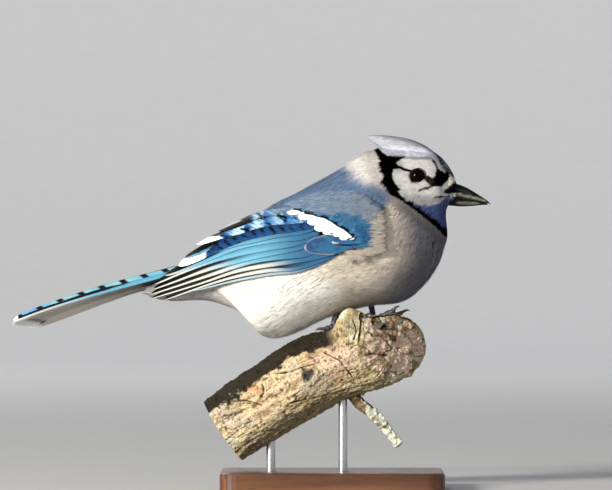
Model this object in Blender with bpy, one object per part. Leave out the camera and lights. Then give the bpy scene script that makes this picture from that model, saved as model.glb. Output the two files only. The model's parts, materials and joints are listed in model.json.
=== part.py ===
"""A life-size blue jay perched on a cut length of branch, held up by a plain display stand.

Millimetres are used throughout and turned into metres when a mesh is made. +Z is up and the
bird faces +X. Its right side is towards -Y. The origin is the middle of the stand's foot.
"""

import math

import bmesh
import bpy
import numpy as np

MM = 0.001
GAP = 0.3
SEAM = 0.35

# The body as sections from the bill's base to the end of the undertail coverts. Each row is a
# section seen from the side: x and z of its top, x and z of its bottom, its half width, and how
# far down the section its widest place lies.
BODY = np.array([
    (69.4, 169.2, 64.4, 156.7, 5.2, 0.55),
    (66.7, 176.1, 63.6, 155.0, 8.8, 0.58),
    (61.7, 182.8, 63.3, 152.8, 12.0, 0.60),
    (53.9, 187.6, 63.4, 150.0, 14.6, 0.60),
    (43.3, 190.0, 63.8, 147.0, 16.0, 0.60),
    (33.3, 190.0, 64.2, 143.9, 17.0, 0.58),
    (24.6, 188.6, 64.3, 140.0, 18.4, 0.55),
    (15.6, 186.2, 63.2, 134.5, 21.0, 0.52),
    (4.4, 178.2, 59.4, 123.9, 26.3, 0.50),
    (-7.8, 171.2, 51.7, 112.8, 30.8, 0.50),
    (-22.2, 163.2, 39.4, 103.4, 33.0, 0.50),
    (-36.7, 153.6, 19.4, 100.8, 33.0, 0.50),
    (-50.0, 144.8, -2.8, 94.2, 31.0, 0.52),
    (-62.2, 136.6, -23.3, 84.8, 27.0, 0.54),
    (-72.2, 129.0, -37.8, 84.2, 21.5, 0.54),
    (-80.0, 123.6, -50.0, 97.2, 16.0, 0.52),
    (-88.0, 117.8, -69.4, 104.4, 11.0, 0.50),
    (-97.0, 112.6, -88.9, 104.2, 7.5, 0.50),
    (-106.5, 110.2, -105.8, 107.6, 4.0, 0.50),
])
HEAD_ENDS = (0.0, 5.4)
NECK_ENDS = (5.5, 7.5)
TRUNK_ENDS = (7.53, 18.0)
CREST_SEAT_ENDS = (0.0, 8.0)

# The crest feathers: x and z of the top line, z of the lower line, half width
CREST = np.array([
    (60.5, 183.4, 180.0, 2.6),
    (52.8, 189.6, 184.0, 6.0),
    (43.3, 193.8, 184.0, 7.4),
    (33.9, 195.5, 184.0, 6.6),
    (27.5, 196.0, 188.4, 4.0),
    (20.3, 195.9, 194.4, 0.7),
])

# The upper mandible: x and z of the culmen, x and z of the cutting edge, half width
BILL_UPPER = np.array([
    (69.4, 169.2, 66.2, 161.2, 5.0),
    (74.5, 167.2, 72.0, 160.6, 4.3),
    (79.4, 164.3, 78.0, 159.8, 3.3),
    (84.0, 161.4, 83.6, 159.1, 2.1),
    (86.7, 159.3, 86.6, 158.4, 1.0),
    (87.6, 157.9, 87.5, 157.6, 0.35),
])

# The lower mandible: x and z of its upper edge, x and z of its keel, half width
BILL_LOWER = np.array([
    (66.05, 160.8, 64.6, 157.2, 4.6),
    (72.0, 160.2, 71.1, 156.7, 3.8),
    (78.0, 159.4, 77.4, 156.9, 2.8),
    (83.4, 158.7, 83.2, 157.5, 1.7),
    (86.2, 158.1, 86.1, 157.6, 0.6),
])

EYE_RADIUS = 5.0
EYE_CENTRE = (47.4, 10.6, 173.4)

# The folded wing seen from the side, from the bend to the tip: x and z of its upper edge
WING_UPPER = np.array([
    (26.1, 148.9), (11.1, 156.4), (-10.0, 156.7), (-32.2, 152.8),
    (-50.0, 147.5), (-67.8, 137.2), (-83.3, 125.0), (-99.4, 105.6),
])
WING_LOWER = np.array([
    (26.1, 138.9), (12.2, 131.1), (-6.7, 125.8), (-27.8, 120.6),
    (-47.2, 116.1), (-65.6, 111.1), (-83.3, 106.7), (-99.2, 103.3),
])
# Behind the flank the wing is an arched shell of its own: x, z of its middle, half height, half width
WING_SHELL = np.array([
    (30.0, 115.6, 42.0, 26.0),
    (-22.2, 115.6, 42.2, 31.5),
    (-44.4, 112.8, 38.9, 28.0),
    (-72.2, 108.9, 29.0, 20.5),
    (-94.4, 104.4, 14.0, 14.0),
    (-101.0, 103.9, 10.0, 12.5),
])
WING_LIFT = 1.3
WING_THICKNESS = 2.4

TAIL_ROOT = (-62.0, 126.3)
TAIL_TIP = (-178.6, 91.3)
TAIL_ROLL = math.radians(22)
TAIL_ARCH = 2.2
# How far the tail's middle is bowed up along its length
TAIL_BOW = 1.9
# Share of the length from root to tip, whole width, thickness
TAIL_WIDTHS = np.array([
    (0.0, 11.0, 4.4),
    (0.25, 14.0, 4.0),
    (0.55, 19.0, 3.2),
    (0.85, 22.5, 2.2),
    (0.95, 20.0, 1.6),
    (1.0, 11.0, 0.9),
])

# The branch's line: x, y and z of its middle, and its radius. The wood ends before the last row,
# at a slanting break that faces the bird's right and front.
BRANCH = np.array([
    (-60.0, 0.0, 32.0, 18.6),
    (-45.0, -1.5, 42.0, 19.2),
    (-26.0, -3.0, 54.6, 20.2),
    (-7.8, -4.5, 65.2, 20.2),
    (10.0, -5.0, 71.4, 18.8),
    (28.0, -5.5, 77.2, 18.8),
    (45.0, -6.0, 82.0, 18.4),
    (62.0, -6.5, 86.5, 17.8),
])
# The break: its middle and slant in rows of the branch, and how far it bulges
BREAK_PLACE = 5.3
BREAK_SLANT = 1.05
BREAK_DOME = 3.6
# Size and bulge of each ring that closes the break, as shares of its rim and of the dome
BREAK_CLOSING = ((0.93, 0.35), (0.7, 0.75), (0.35, 0.95), (0.08, 1.0))
# A low swell round the wood: lobes, their twist for each row, their height and where they start
SWELLS = ((3, 1.2, 0.035, 0.0), (5, -1.6, 0.02, 1.0))
# The stub of a side branch: its height, its row and angle, and its spread along and round the wood
HUMP_HEIGHT = 13.5
HUMP_PLACE = (4.4, 0.6)
HUMP_SPREAD = (0.52, 0.19)
# The dead twig below: x, y and z of its middle, and its radius
TWIG = np.array([
    (8.0, -5.0, 60.0, 3.8),
    (14.0, -6.5, 49.0, 3.3),
    (25.6, -8.0, 39.0, 2.9),
    (37.0, -8.5, 25.0, 2.3),
])

BASE_SIZE = (124.0, 80.0, 10.0)
BASE_CORNER = 9.0
BASE_BEVEL = 1.5
ROD_RADIUS = 2.5
# How deep a rod goes into the wood, and the x of each rod
ROD_DEPTH = 8.0
RODS = {"stand_rod_rear": -34.0, "stand_rod_front": 6.0}

# Each foot: x and y where its leg meets the toes, and the x and y where its leg leaves the belly
FEET = {"right": ((2.5, -4.8), (7.0, -9.0)), "left": ((24.0, 4.5), (21.0, 8.5))}
TOE_RADIUS = 1.45
# Each toe: how far it reaches along the branch's rows, how far it turns outward, and its claw's length
TOES = {
    "inner": (0.66, -0.28, 6.0),
    "middle": (0.88, 0.03, 6.5),
    "outer": (0.54, 0.15, 5.5),
    "hind": (-0.38, 0.12, 7.0),
}
CLAW_BEND = 1.1
# The pad under the leg: how far above the toes' middle each ring lies, and its radius
PAD_HEIGHT = 2.2
PAD_RINGS = ((-1.3, 0.9), (-0.6, 2.2), (0.6, 2.5), (PAD_HEIGHT, 2.0))
TARSUS_RADIUS = 1.9
HIP_HEIGHT = 13.0

# Rings and points in a ring of each loft of the body
HEAD_MESH = (14, 24)
NECK_MESH = (5, 26)
TRUNK_MESH = (22, 28)
CREST_SEAT_MESH = (13, 22)
EYE_MESH = (14, 8)
ROD_SIDES = 24

COLOURS = {
    "plumage_blue": (0.13, 0.25, 0.48),
    "plumage_white": (0.72, 0.70, 0.67),
    "plumage_grey": (0.36, 0.37, 0.42),
    "horn_black": (0.025, 0.025, 0.03),
    "eye_brown": (0.035, 0.015, 0.01),
    "bark": (0.26, 0.20, 0.13),
    "stand_wood": (0.12, 0.065, 0.035),
    "stand_steel": (0.55, 0.55, 0.56),
}


def clear_scene():
    for obj in list(bpy.data.objects):
        bpy.data.objects.remove(obj)


def collection(name):
    made = bpy.data.collections.new(name)
    bpy.context.scene.collection.children.link(made)
    return made


def material(name):
    made = bpy.data.materials.get(name)
    if made is None:
        made = bpy.data.materials.new(name)
        made.use_nodes = True
        shader = made.node_tree.nodes["Principled BSDF"]
        shader.inputs["Base Color"].default_value = (*COLOURS[name], 1.0)
        shader.inputs["Roughness"].default_value = 0.35 if name in ("horn_black", "eye_brown") else 0.7
        shader.inputs["Metallic"].default_value = 1.0 if name == "stand_steel" else 0.0
    return made


def spline(rows, at):
    """Rows of a table read between its rows, along a smooth curve through all of them."""
    rows = np.asarray(rows, float)
    at = np.clip(np.asarray(at, float), 0, len(rows) - 1)
    first = np.minimum(at.astype(int), len(rows) - 2)
    share = (at - first)[..., None]
    padded = np.concatenate([2 * rows[:1] - rows[1:2], rows, 2 * rows[-1:] - rows[-2:-1]])
    a, b, c, d = (padded[first + k] for k in range(4))
    return b + 0.5 * share * (c - a + share * (2 * a - 5 * b + 4 * c - d + share * (3 * (b - c) + d - a)))


def table(rows, x):
    """Columns after the first, read at values of the first column, which falls or rises."""
    order = np.argsort(rows[:, 0])
    return [np.interp(x, rows[order, 0], rows[order, k]) for k in range(1, rows.shape[1])]


def mesh_object(name, verts, faces, parent, colour=None):
    """A smooth mesh object from points in millimetres, with its faces turned outwards."""
    mesh = bpy.data.meshes.new(name)
    mesh.from_pydata([tuple(v) for v in np.asarray(verts) * MM], [], faces)
    work = bmesh.new()
    work.from_mesh(mesh)
    bmesh.ops.recalc_face_normals(work, faces=work.faces)
    work.to_mesh(mesh)
    work.free()
    obj = bpy.data.objects.new(name, mesh)
    parent.objects.link(obj)
    if colour:
        mesh.materials.append(material(colour))
    mesh.shade_smooth()
    return obj


def move_to(obj, parent):
    """Takes an object that an operator made out of its collections and puts it in one."""
    for holder in list(obj.users_collection):
        holder.objects.unlink(obj)
    parent.objects.link(obj)


def loft(name, rings, parent, colour=None):
    """A closed solid through rings of points, each ring with the same count, capped at both ends."""
    rings = np.asarray(rings)
    count, around = rings.shape[:2]
    faces = [
        (row + j, row + (j + 1) % around, row + around + (j + 1) % around, row + around + j)
        for row in range(0, (count - 1) * around, around)
        for j in range(around)
    ]
    faces.append(tuple(range(around))[::-1])
    faces.append(tuple((count - 1) * around + j for j in range(around)))
    return mesh_object(name, rings.reshape(-1, 3), faces, parent, colour)


def cutter(obj):
    obj.hide_render = True
    obj.display_type = "WIRE"
    return obj


def boolean(obj, other, operation="DIFFERENCE"):
    modifier = obj.modifiers.new(operation.lower(), "BOOLEAN")
    modifier.operation = operation
    modifier.object = other
    modifier.solver = "EXACT"


def body_points(u, v, grow=0.0):
    """The body's surface. u runs along the sections and v round them from the top, right side first."""
    x_top, z_top, x_low, z_low, half, widest = np.moveaxis(spline(BODY, u), -1, 0)
    along = np.stack([x_low - x_top, z_low - z_top], -1)
    length = np.linalg.norm(along, axis=-1)
    reach = np.where(np.cos(v) > 0, widest, 1 - widest) + grow / length
    share = widest - reach * np.cos(v)
    x = x_top + along[..., 0] * share
    z = z_top + along[..., 1] * share
    return np.stack([x, -(half + grow) * np.sin(v), z], -1)


def body_loft(name, ends, size, parent, colour=None, grow=0.0):
    """A stretch of the body, in a size of so many rings and so many points round each."""
    count, around = size
    u, v = np.meshgrid(
        np.linspace(*ends, count), np.linspace(0, 2 * np.pi, around, endpoint=False), indexing="ij"
    )
    return loft(name, body_points(u, v, grow), parent, colour)


def body_side(x, z):
    """How far the body's surface lies to the side of a point that is seen from the side.

    Thirty halvings find the section that passes through the point, behind the head."""
    low, high = np.full(np.shape(x), 5.0), np.full(np.shape(x), 18.0)
    for _ in range(30):
        middle = (low + high) / 2
        row = spline(BODY, middle)
        along = row[..., 2:4] - row[..., 0:2]
        ahead = along[..., 0] * (z - row[..., 1]) - along[..., 1] * (x - row[..., 0])
        low, high = np.where(ahead > 0, low, middle), np.where(ahead > 0, middle, high)
    row = spline(BODY, (low + high) / 2)
    along = row[..., 2:4] - row[..., 0:2]
    share = ((x - row[..., 0]) * along[..., 0] + (z - row[..., 1]) * along[..., 1]) / (along**2).sum(-1)
    off = (share - row[..., 5]) / np.where(share < row[..., 5], row[..., 5], 1 - row[..., 5])
    return row[..., 4] * np.sqrt(np.clip(1 - off**2, 0, 1))


def wing_side(x, z):
    """How far the folded wing's outer face lies to the side: over the flank, then on its own shell."""
    middle, half_height, half_width = table(WING_SHELL, x)
    shell = half_width * np.sqrt(np.clip(1 - ((z - middle) / half_height) ** 2, 0, 1))
    flank = body_side(x, z) + WING_LIFT
    return 0.5 * (shell + flank + np.sqrt((shell - flank) ** 2 + 4.0))


def wing_rings(grow=0.0, count=18, across=7):
    """Rings round the wing's blade, for the bird's right side. The blade is thinner at its edges."""
    last = len(WING_UPPER) - 1
    steps = np.linspace(0, last, count)
    upper, lower = spline(WING_UPPER, steps), spline(WING_LOWER, steps)
    down = (lower - upper) / np.linalg.norm(lower - upper, axis=-1, keepdims=True)
    upper, lower = upper - down * grow, lower + down * grow
    for edge in (upper, lower):
        for end, inner in ((0, 1), (-1, -2)):
            ahead = edge[end] - edge[inner]
            edge[end] += ahead / np.linalg.norm(ahead) * grow
    share = (1 - np.cos(np.linspace(0, np.pi, across))) / 2
    flat = upper[:, None] + (lower - upper)[:, None] * share[None, :, None]
    face = np.stack([flat[..., 0], -wing_side(flat[..., 0], flat[..., 1]), flat[..., 1]], -1)
    normal = np.cross(np.gradient(face, axis=0), np.gradient(face, axis=1))
    normal /= np.linalg.norm(normal, axis=-1, keepdims=True)
    normal *= -np.sign(normal[..., 1:2])
    taper = np.interp(steps, (0, 1, last - 1, last), (0.55, 1, 0.7, 0.35))
    edges = np.sqrt(np.clip(1 - (2 * share - 1) ** 8, 0.12, 1))
    thick = WING_THICKNESS * taper[:, None] * edges[None, :]
    outer = face + normal * grow
    inner = face - normal * (thick + grow)[..., None]
    return np.concatenate([outer, inner[:, ::-1]], axis=1)


def mirrored(rings):
    """The rings of the bird's other side, run round the other way so that they still face out."""
    return rings[:, ::-1] * np.array([1, -1, 1])


def tail_rings(grow=0.0, count=14, across=7):
    """Rings round the folded tail, an arched and bowed blade rolled so that its right edge is the higher."""
    root, tip = np.array(TAIL_ROOT), np.array(TAIL_TIP)
    back = (tip - root) / np.linalg.norm(tip - root)
    axis = np.array([back[0], 0, back[1]])
    up = np.array([-back[1], 0, back[0]]) * (-1 if back[0] < 0 else 1)
    side = np.array([0.0, -1.0, 0.0])
    out = side * math.cos(TAIL_ROLL) + up * math.sin(TAIL_ROLL)
    lift = up * math.cos(TAIL_ROLL) - side * math.sin(TAIL_ROLL)
    share = 1 - (1 - np.linspace(0, 1, count)) ** 1.5
    width, thick = table(TAIL_WIDTHS, share)
    over = np.sin(np.linspace(-np.pi / 2, np.pi / 2, across))
    middle = np.array([root[0], 0, root[1]]) + axis * (share * np.linalg.norm(tip - root))[:, None]
    middle += up * (4 * TAIL_BOW * share * (1 - share))[:, None]
    spread = (width / 2 + grow)[:, None] * over[None]
    arch = -TAIL_ARCH * over[None] ** 2 * (width / width.max())[:, None]
    half = (thick / 2)[:, None] * np.sqrt(np.clip(1 - over[None] ** 6, 0.1, 1)) + grow
    top = middle[:, None] + out * spread[..., None] + lift * (arch + half)[..., None]
    low = middle[:, None] + out * spread[..., None] + lift * (arch - half)[..., None]
    return np.concatenate([top, low[:, ::-1]], axis=1)


def crest_rings(count=11, around=12):
    """Upright oval rings along the crest, from the forehead to its free point."""
    rows = spline(CREST, np.linspace(0, len(CREST) - 1, count))
    angle = np.linspace(0, 2 * np.pi, around, endpoint=False)
    middle = (rows[:, 1] + rows[:, 2]) / 2
    half = (rows[:, 1] - rows[:, 2]) / 2
    x = np.repeat(rows[:, :1], around, axis=1)
    return np.stack([x, rows[:, 3:4] * np.sin(angle), middle[:, None] + half[:, None] * np.cos(angle)], -1)


def mandible_rings(rows, count, upper, around=16):
    """D-shaped rings: a flat side at the cutting edge and a round back at the culmen or the keel."""
    rows = spline(rows, np.linspace(0, len(rows) - 1, count))
    if upper:
        ridge, edge = rows[:, 0:2], rows[:, 2:4]
    else:
        edge, ridge = rows[:, 0:2], rows[:, 2:4]
    arc = around - 4
    angle = np.linspace(0, np.pi, arc)
    side = np.concatenate([np.cos(angle), np.linspace(-1, 1, 6)[1:-1]])
    rise = np.concatenate([np.sin(angle) ** 1.15, np.zeros(4)])
    x = edge[:, :1] + (ridge - edge)[:, :1] * rise
    z = edge[:, 1:] + (ridge - edge)[:, 1:] * rise
    return np.stack([x, rows[:, 4:5] * side, z], -1)


def branch_frame(at):
    """Middle, axis, upward and sideways directions and radius of the branch, at places along its rows."""
    last = len(BRANCH) - 1
    step = 1e-3
    ahead = spline(BRANCH, np.minimum(at + step, last))[..., :3]
    axis = ahead - spline(BRANCH, np.minimum(at + step, last) - 2 * step)[..., :3]
    axis /= np.linalg.norm(axis, axis=-1, keepdims=True)
    side = np.cross(axis, (0, 0, 1.0))
    side /= np.linalg.norm(side, axis=-1, keepdims=True)
    rows = spline(BRANCH, at)
    return rows[..., :3], axis, np.cross(side, axis), side, rows[..., 3]


def branch_points(at, angle, extra=0.0):
    """The bark's surface. The angle starts at the top and turns towards the bird's right."""
    middle, _, up, side, radius = branch_frame(at)
    swell = 1.0
    for lobes, twist, height, phase in SWELLS:
        swell = swell + height * np.sin(lobes * angle + twist * at + phase)
    along, round_it = (at - HUMP_PLACE[0]) / HUMP_SPREAD[0], (angle - HUMP_PLACE[1]) / HUMP_SPREAD[1]
    reach = radius * swell + HUMP_HEIGHT * np.exp(-(along**2) - round_it**2) + extra
    return middle + up * (reach * np.cos(angle))[..., None] + side * (reach * np.sin(angle))[..., None]


def branch_rings(grow=0.0, count=15, around=22):
    """The branch from its sawn end to its slanting broken end, which bulges a little."""
    share, angle = np.meshgrid(
        np.linspace(0, 1, count), np.linspace(-np.pi, np.pi, around, endpoint=False), indexing="ij"
    )
    rings = branch_points(share * (BREAK_PLACE - BREAK_SLANT * np.sin(angle)), angle, grow)
    centre = rings[-1].mean(axis=0)
    _, axis, _, side, _ = branch_frame(np.array(BREAK_PLACE))
    facing = axis + side
    facing /= np.linalg.norm(facing)
    domed = [centre + (rings[-1] - centre) * size + facing * BREAK_DOME * out for size, out in BREAK_CLOSING]
    return np.concatenate([rings, np.array(domed)])


def tube_rings(rows, around=8):
    """Rings round a bent, tapering round piece whose rows hold x, y, z and radius."""
    rows = np.asarray(rows, float)
    axis = np.gradient(rows[:, :3], axis=0)
    axis /= np.linalg.norm(axis, axis=1, keepdims=True)
    first = np.cross(axis[0], (0.0, 1.0, 0.0))
    sides = [first / np.linalg.norm(first)]
    for direction in axis[1:]:
        carried = sides[-1] - direction * (sides[-1] @ direction)
        sides.append(carried / np.linalg.norm(carried))
    sides = np.array(sides)
    others = np.cross(axis, sides)
    angle = np.linspace(0, 2 * np.pi, around, endpoint=False)
    ring = sides[:, None] * np.cos(angle)[None, :, None] + others[:, None] * np.sin(angle)[None, :, None]
    return rows[:, None, :3] + ring * rows[:, 3][:, None, None]


def make_head(bird, cutters):
    """The head, and in each of its two sockets an eye with a gap all round."""
    head = body_loft("head", HEAD_ENDS, HEAD_MESH, bird, "plumage_white")
    for side, sign in (("right", -1), ("left", 1)):
        x, y, z = EYE_CENTRE
        for name, radius, where in (
            (f"eye_{side}", EYE_RADIUS, bird),
            (f"cut_eye_{side}", EYE_RADIUS + GAP, cutters),
        ):
            segments, rings = EYE_MESH
            bpy.ops.mesh.primitive_uv_sphere_add(segments=segments, ring_count=rings, radius=radius * MM)
            eye = bpy.context.object
            eye.name = name
            eye.location = (x * MM, sign * y * MM, z * MM)
            eye.rotation_euler = (math.radians(90), 0, 0)
            move_to(eye, where)
            eye.data.shade_smooth()
        bpy.data.objects[f"eye_{side}"].data.materials.append(material("eye_brown"))
        boolean(head, cutter(bpy.data.objects[f"cut_eye_{side}"]))


def make_crest(bird, cutters):
    """The crest, cut where it sits on the head and neck."""
    crest = loft("crest", crest_rings(), bird, "plumage_blue")
    seat = body_loft("cut_crest_seat", CREST_SEAT_ENDS, CREST_SEAT_MESH, cutters, grow=SEAM)
    boolean(crest, cutter(seat))


def make_bill(bird):
    """Both mandibles, a gap ahead of the head's front."""
    loft("bill_upper", mandible_rings(BILL_UPPER, 10, True) + (GAP, 0, 0), bird, "horn_black")
    loft("bill_lower", mandible_rings(BILL_LOWER, 8, False) + (GAP, 0, 0), bird, "horn_black")


def make_trunk_wings_tail(bird, cutters):
    """Neck, trunk, wings and tail. The trunk gives way where the wings and the tail lie in it."""
    body_loft("neck", NECK_ENDS, NECK_MESH, bird, "plumage_grey")
    trunk = body_loft("trunk", TRUNK_ENDS, TRUNK_MESH, bird, "plumage_white")
    right, right_cut = wing_rings(), wing_rings(GAP)
    loft("wing_right", right, bird, "plumage_blue")
    loft("wing_left", mirrored(right), bird, "plumage_blue")
    loft("tail", tail_rings(), bird, "plumage_blue")
    for name, rings in (
        ("cut_wing_right", right_cut),
        ("cut_wing_left", mirrored(right_cut)),
        ("cut_tail", tail_rings(GAP)),
    ):
        boolean(trunk, cutter(loft(name, rings, cutters)))
    return trunk


def make_perch(bird, cutters):
    """The cut branch, and the twig that leaves it below."""
    perch = loft("perch", branch_rings(), bird, "bark")
    twig = loft("perch_twig", tube_rings(spline(TWIG, np.linspace(0, 3, 7))), bird, "bark")
    boolean(twig, cutter(loft("cut_twig_seat", branch_rings(GAP), cutters)))
    return perch


def cylinder(name, x, y, low, high, radius, parent):
    bpy.ops.mesh.primitive_cylinder_add(vertices=ROD_SIDES, radius=radius * MM, depth=(high - low) * MM)
    rod = bpy.context.object
    rod.name = name
    rod.location = (x * MM, y * MM, (low + high) / 2 * MM)
    move_to(rod, parent)
    return rod


def make_base(bird):
    """A flat board with round corners and an eased upper rim."""
    length, width, height = BASE_SIZE
    bpy.ops.mesh.primitive_cube_add(size=1)
    base = bpy.context.object
    base.name = "stand_base"
    for vertex in base.data.vertices:
        vertex.co = (vertex.co.x * length * MM, vertex.co.y * width * MM, (vertex.co.z + 0.5) * height * MM)
    move_to(base, bird)
    base.data.materials.append(material("stand_wood"))
    work = bmesh.new()
    work.from_mesh(base.data)
    upright = [e for e in work.edges if abs(e.verts[0].co.z - e.verts[1].co.z) > height * MM / 2]
    bmesh.ops.bevel(work, geom=upright, offset=BASE_CORNER * MM, segments=6, profile=0.5, affect="EDGES")
    rim = [
        e for e in work.edges
        if all(v.co.z > height * MM * 0.99 for v in e.verts)
        and any(abs(f.normal.z) < 0.5 for f in e.link_faces)
    ]
    bmesh.ops.bevel(work, geom=rim, offset=BASE_BEVEL * MM, segments=2, profile=0.5, affect="EDGES")
    work.to_mesh(base.data)
    work.free()
    return base


def make_stand(bird, cutters, perch):
    """The base, and two upright rods that stand in holes in the base and in the perch."""
    base = make_base(bird)
    foot = BASE_SIZE[2] - ROD_DEPTH / 2
    for name, x in RODS.items():
        at = np.interp(x, BRANCH[:, 0], np.arange(len(BRANCH)))
        (_, y, z), _, _, _, radius = branch_frame(np.array(at))
        top = z - radius + ROD_DEPTH
        rod = cylinder(name, x, y, foot, top, ROD_RADIUS, bird)
        rod.data.materials.append(material("stand_steel"))
        hole = cutter(cylinder(f"cut_{name}", x, y, foot - GAP, top + GAP, ROD_RADIUS + GAP, cutters))
        boolean(perch, hole)
        boolean(base, hole)


def top_place(x, y):
    """The place along the branch and the angle round it where the bark's top lies at x and y."""
    at = np.linspace(0, len(BRANCH) - 1.0, 200)
    middle, _, _, _, radius = branch_frame(at)
    angle = np.arcsin((middle[:, 1] - y) / radius)
    place = np.interp(x, branch_points(at, angle)[:, 0], at)
    return float(place), float(np.interp(place, at, angle))


def toe_rows(start, angle_start, at_end, angle_end, claw):
    """A toe that lies on the bark from one place to another and ends in a hooked claw."""
    steps = np.linspace(0, 1, 7)
    at = start + (at_end - start) * steps
    angle = angle_start + (angle_end - angle_start) * steps
    radius = TOE_RADIUS * (1 - 0.22 * steps) * (1 + 0.08 * np.cos(steps * 6 * np.pi))
    seat = branch_points(at, angle, GAP + 0.25) - branch_frame(at)[0]
    outward = seat / np.linalg.norm(seat, axis=1, keepdims=True)
    path = branch_points(at, angle, GAP + 0.25) + outward * radius[:, None]
    ahead = path[-1] - path[-2]
    ahead /= np.linalg.norm(ahead)
    turn = np.linspace(0, 1, 5)[1:]
    hook = path[-1] + ahead * (claw * np.sin(turn * CLAW_BEND) / CLAW_BEND)[:, None]
    hook = hook + outward[-1] * (0.9 * np.sin(turn * np.pi * 0.8) - 0.45 * turn)[:, None]
    sizes = np.concatenate([radius, radius[-1] * np.array([0.9, 0.66, 0.4, 0.12])])
    return np.column_stack([np.concatenate([path, hook]), sizes])


def make_leg(side, bird, cutters, trunk):
    """A foot of four toes joined by a pad, and the tarsus that goes from it up into the belly."""
    (foot_x, foot_y), (hip_x, hip_y) = FEET[side]
    at, angle = top_place(foot_x, foot_y)
    _, _, up, _, _ = branch_frame(np.array(at))
    seat = branch_points(np.array([at]), np.array([angle]), TOE_RADIUS + GAP + 0.6)[0]
    outward = 1 if side == "right" else -1
    toes = {
        toe: toe_rows(at, angle, at + reach, angle + outward * spread, claw)
        for toe, (reach, spread, claw) in TOES.items()
    }
    foot = loft(f"foot_{side}", tube_rings(toes.pop("hind")), bird, "horn_black")
    for name, rows in toes.items():
        boolean(foot, cutter(loft(f"cut_toe_{name}_{side}", tube_rings(rows), cutters)), "UNION")
    pad = [(*(seat + up * rise), radius) for rise, radius in PAD_RINGS]
    boolean(foot, cutter(loft(f"cut_pad_{side}", tube_rings(pad, 12), cutters)), "UNION")
    ankle = seat + up * (PAD_HEIGHT + 2 * GAP)
    hip = np.array([hip_x, hip_y, seat[2] + HIP_HEIGHT])
    line = spline([ankle, ankle + up * 3.0, (ankle + up * 3.0 + hip) / 2, hip], np.linspace(0, 3, 8))
    width = TARSUS_RADIUS * (1 + 0.12 * np.cos(np.linspace(0, 2 * np.pi, 8)))[:, None]
    loft(f"leg_{side}", tube_rings(np.hstack([line, width]), 12), bird, "horn_black")
    past = line + (line[-1] - line[-2]) * (np.arange(8) == 7)[:, None] * 0.2
    boolean(trunk, cutter(loft(f"cut_leg_{side}", tube_rings(np.hstack([past, width + GAP]), 12), cutters)))


def main():
    clear_scene()
    bird = collection("blue_jay")
    cutters = collection("cutters")
    make_head(bird, cutters)
    make_crest(bird, cutters)
    make_bill(bird)
    trunk = make_trunk_wings_tail(bird, cutters)
    perch = make_perch(bird, cutters)
    make_stand(bird, cutters, perch)
    for side in FEET:
        make_leg(side, bird, cutters, trunk)


main()
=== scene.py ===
# %% [markdown]
# # A blue jay on a cut branch
#
# A museum model of a blue jay, life size, that grips a cut length of branch on a plain stand.
# The solids of the body, wings, tail and branch already exist and fix every size and place.
# This lesson dresses them: a skin, a coat of mesh feathers, wing and tail quills that are each
# a vane of their own, a horny bill, wet eyes, scaly feet, rough bark and a finished stand.
#
# The bird faces +X, its right side is towards -Y, and +Z is up. Shapes are worked out in
# millimetres and turned into metres when a mesh is made.

# %% Load the frame
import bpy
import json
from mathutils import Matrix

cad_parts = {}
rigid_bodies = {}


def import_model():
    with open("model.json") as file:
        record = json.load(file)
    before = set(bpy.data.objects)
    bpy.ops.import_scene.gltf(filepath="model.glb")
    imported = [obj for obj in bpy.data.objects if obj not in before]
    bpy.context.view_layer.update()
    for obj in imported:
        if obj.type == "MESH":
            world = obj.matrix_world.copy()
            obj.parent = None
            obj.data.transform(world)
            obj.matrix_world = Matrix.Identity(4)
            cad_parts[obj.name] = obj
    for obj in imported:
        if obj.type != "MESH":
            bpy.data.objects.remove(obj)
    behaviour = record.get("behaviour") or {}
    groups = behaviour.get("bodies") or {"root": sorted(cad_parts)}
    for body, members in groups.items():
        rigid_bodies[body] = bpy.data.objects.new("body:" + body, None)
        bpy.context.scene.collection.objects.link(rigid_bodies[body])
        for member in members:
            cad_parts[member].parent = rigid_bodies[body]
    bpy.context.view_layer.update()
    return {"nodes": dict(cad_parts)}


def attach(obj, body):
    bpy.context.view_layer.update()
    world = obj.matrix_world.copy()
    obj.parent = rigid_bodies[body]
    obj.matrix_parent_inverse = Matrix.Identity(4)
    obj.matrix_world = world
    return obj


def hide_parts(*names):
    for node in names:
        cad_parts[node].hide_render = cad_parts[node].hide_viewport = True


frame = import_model()

import json
import math

import bpy
import numpy as np
from mathutils import Vector

MM = 0.001
rng = np.random.default_rng(41)
print("solids:", ", ".join(sorted(frame["nodes"])))

# %% [markdown]
# ## Where the camera stands
#
# The photograph looks level, square on to the bird's right side, from far away with a long lens.
# A pixel of the photograph is a place on the bird's mid-plane, so marks and outlines can be read off it as
# pixels, and `seen_at` turns them into millimetres. The camera then only has to frame the same stretch of
# the mid-plane that the photograph does.

# %% The photograph's frame, and the camera
PICTURE = (612, 490)
PIXELS_PER_MM = 1.8
ZERO_PIXEL = (332.0, 488.5)
CAMERA_DISTANCE = 3000.0
SENSOR = 36.0
VIEW_END = 60000.0


def seen_at(*pixels):
    """Pixels as x and z on the bird's mid-plane: less the pixel of the origin, over the scale."""
    return (np.array(pixels, float) - ZERO_PIXEL) * (1, -1) / PIXELS_PER_MM


aim_x, aim_z = seen_at((PICTURE[0] / 2, PICTURE[1] / 2))[0]
camera = bpy.data.objects.new("camera", bpy.data.cameras.new("camera"))
bpy.context.scene.collection.objects.link(camera)
camera.data.sensor_width = SENSOR
camera.data.lens = SENSOR * CAMERA_DISTANCE * PIXELS_PER_MM / PICTURE[0]
camera.data.clip_end = VIEW_END * MM
camera.location = (aim_x * MM, -CAMERA_DISTANCE * MM, aim_z * MM)
camera.rotation_euler = (math.radians(90), 0, 0)
bpy.context.scene.camera = camera
print(f"lens {camera.data.lens:.0f} mm, aimed at x {aim_x:.1f}, z {aim_z:.1f}")

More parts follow.
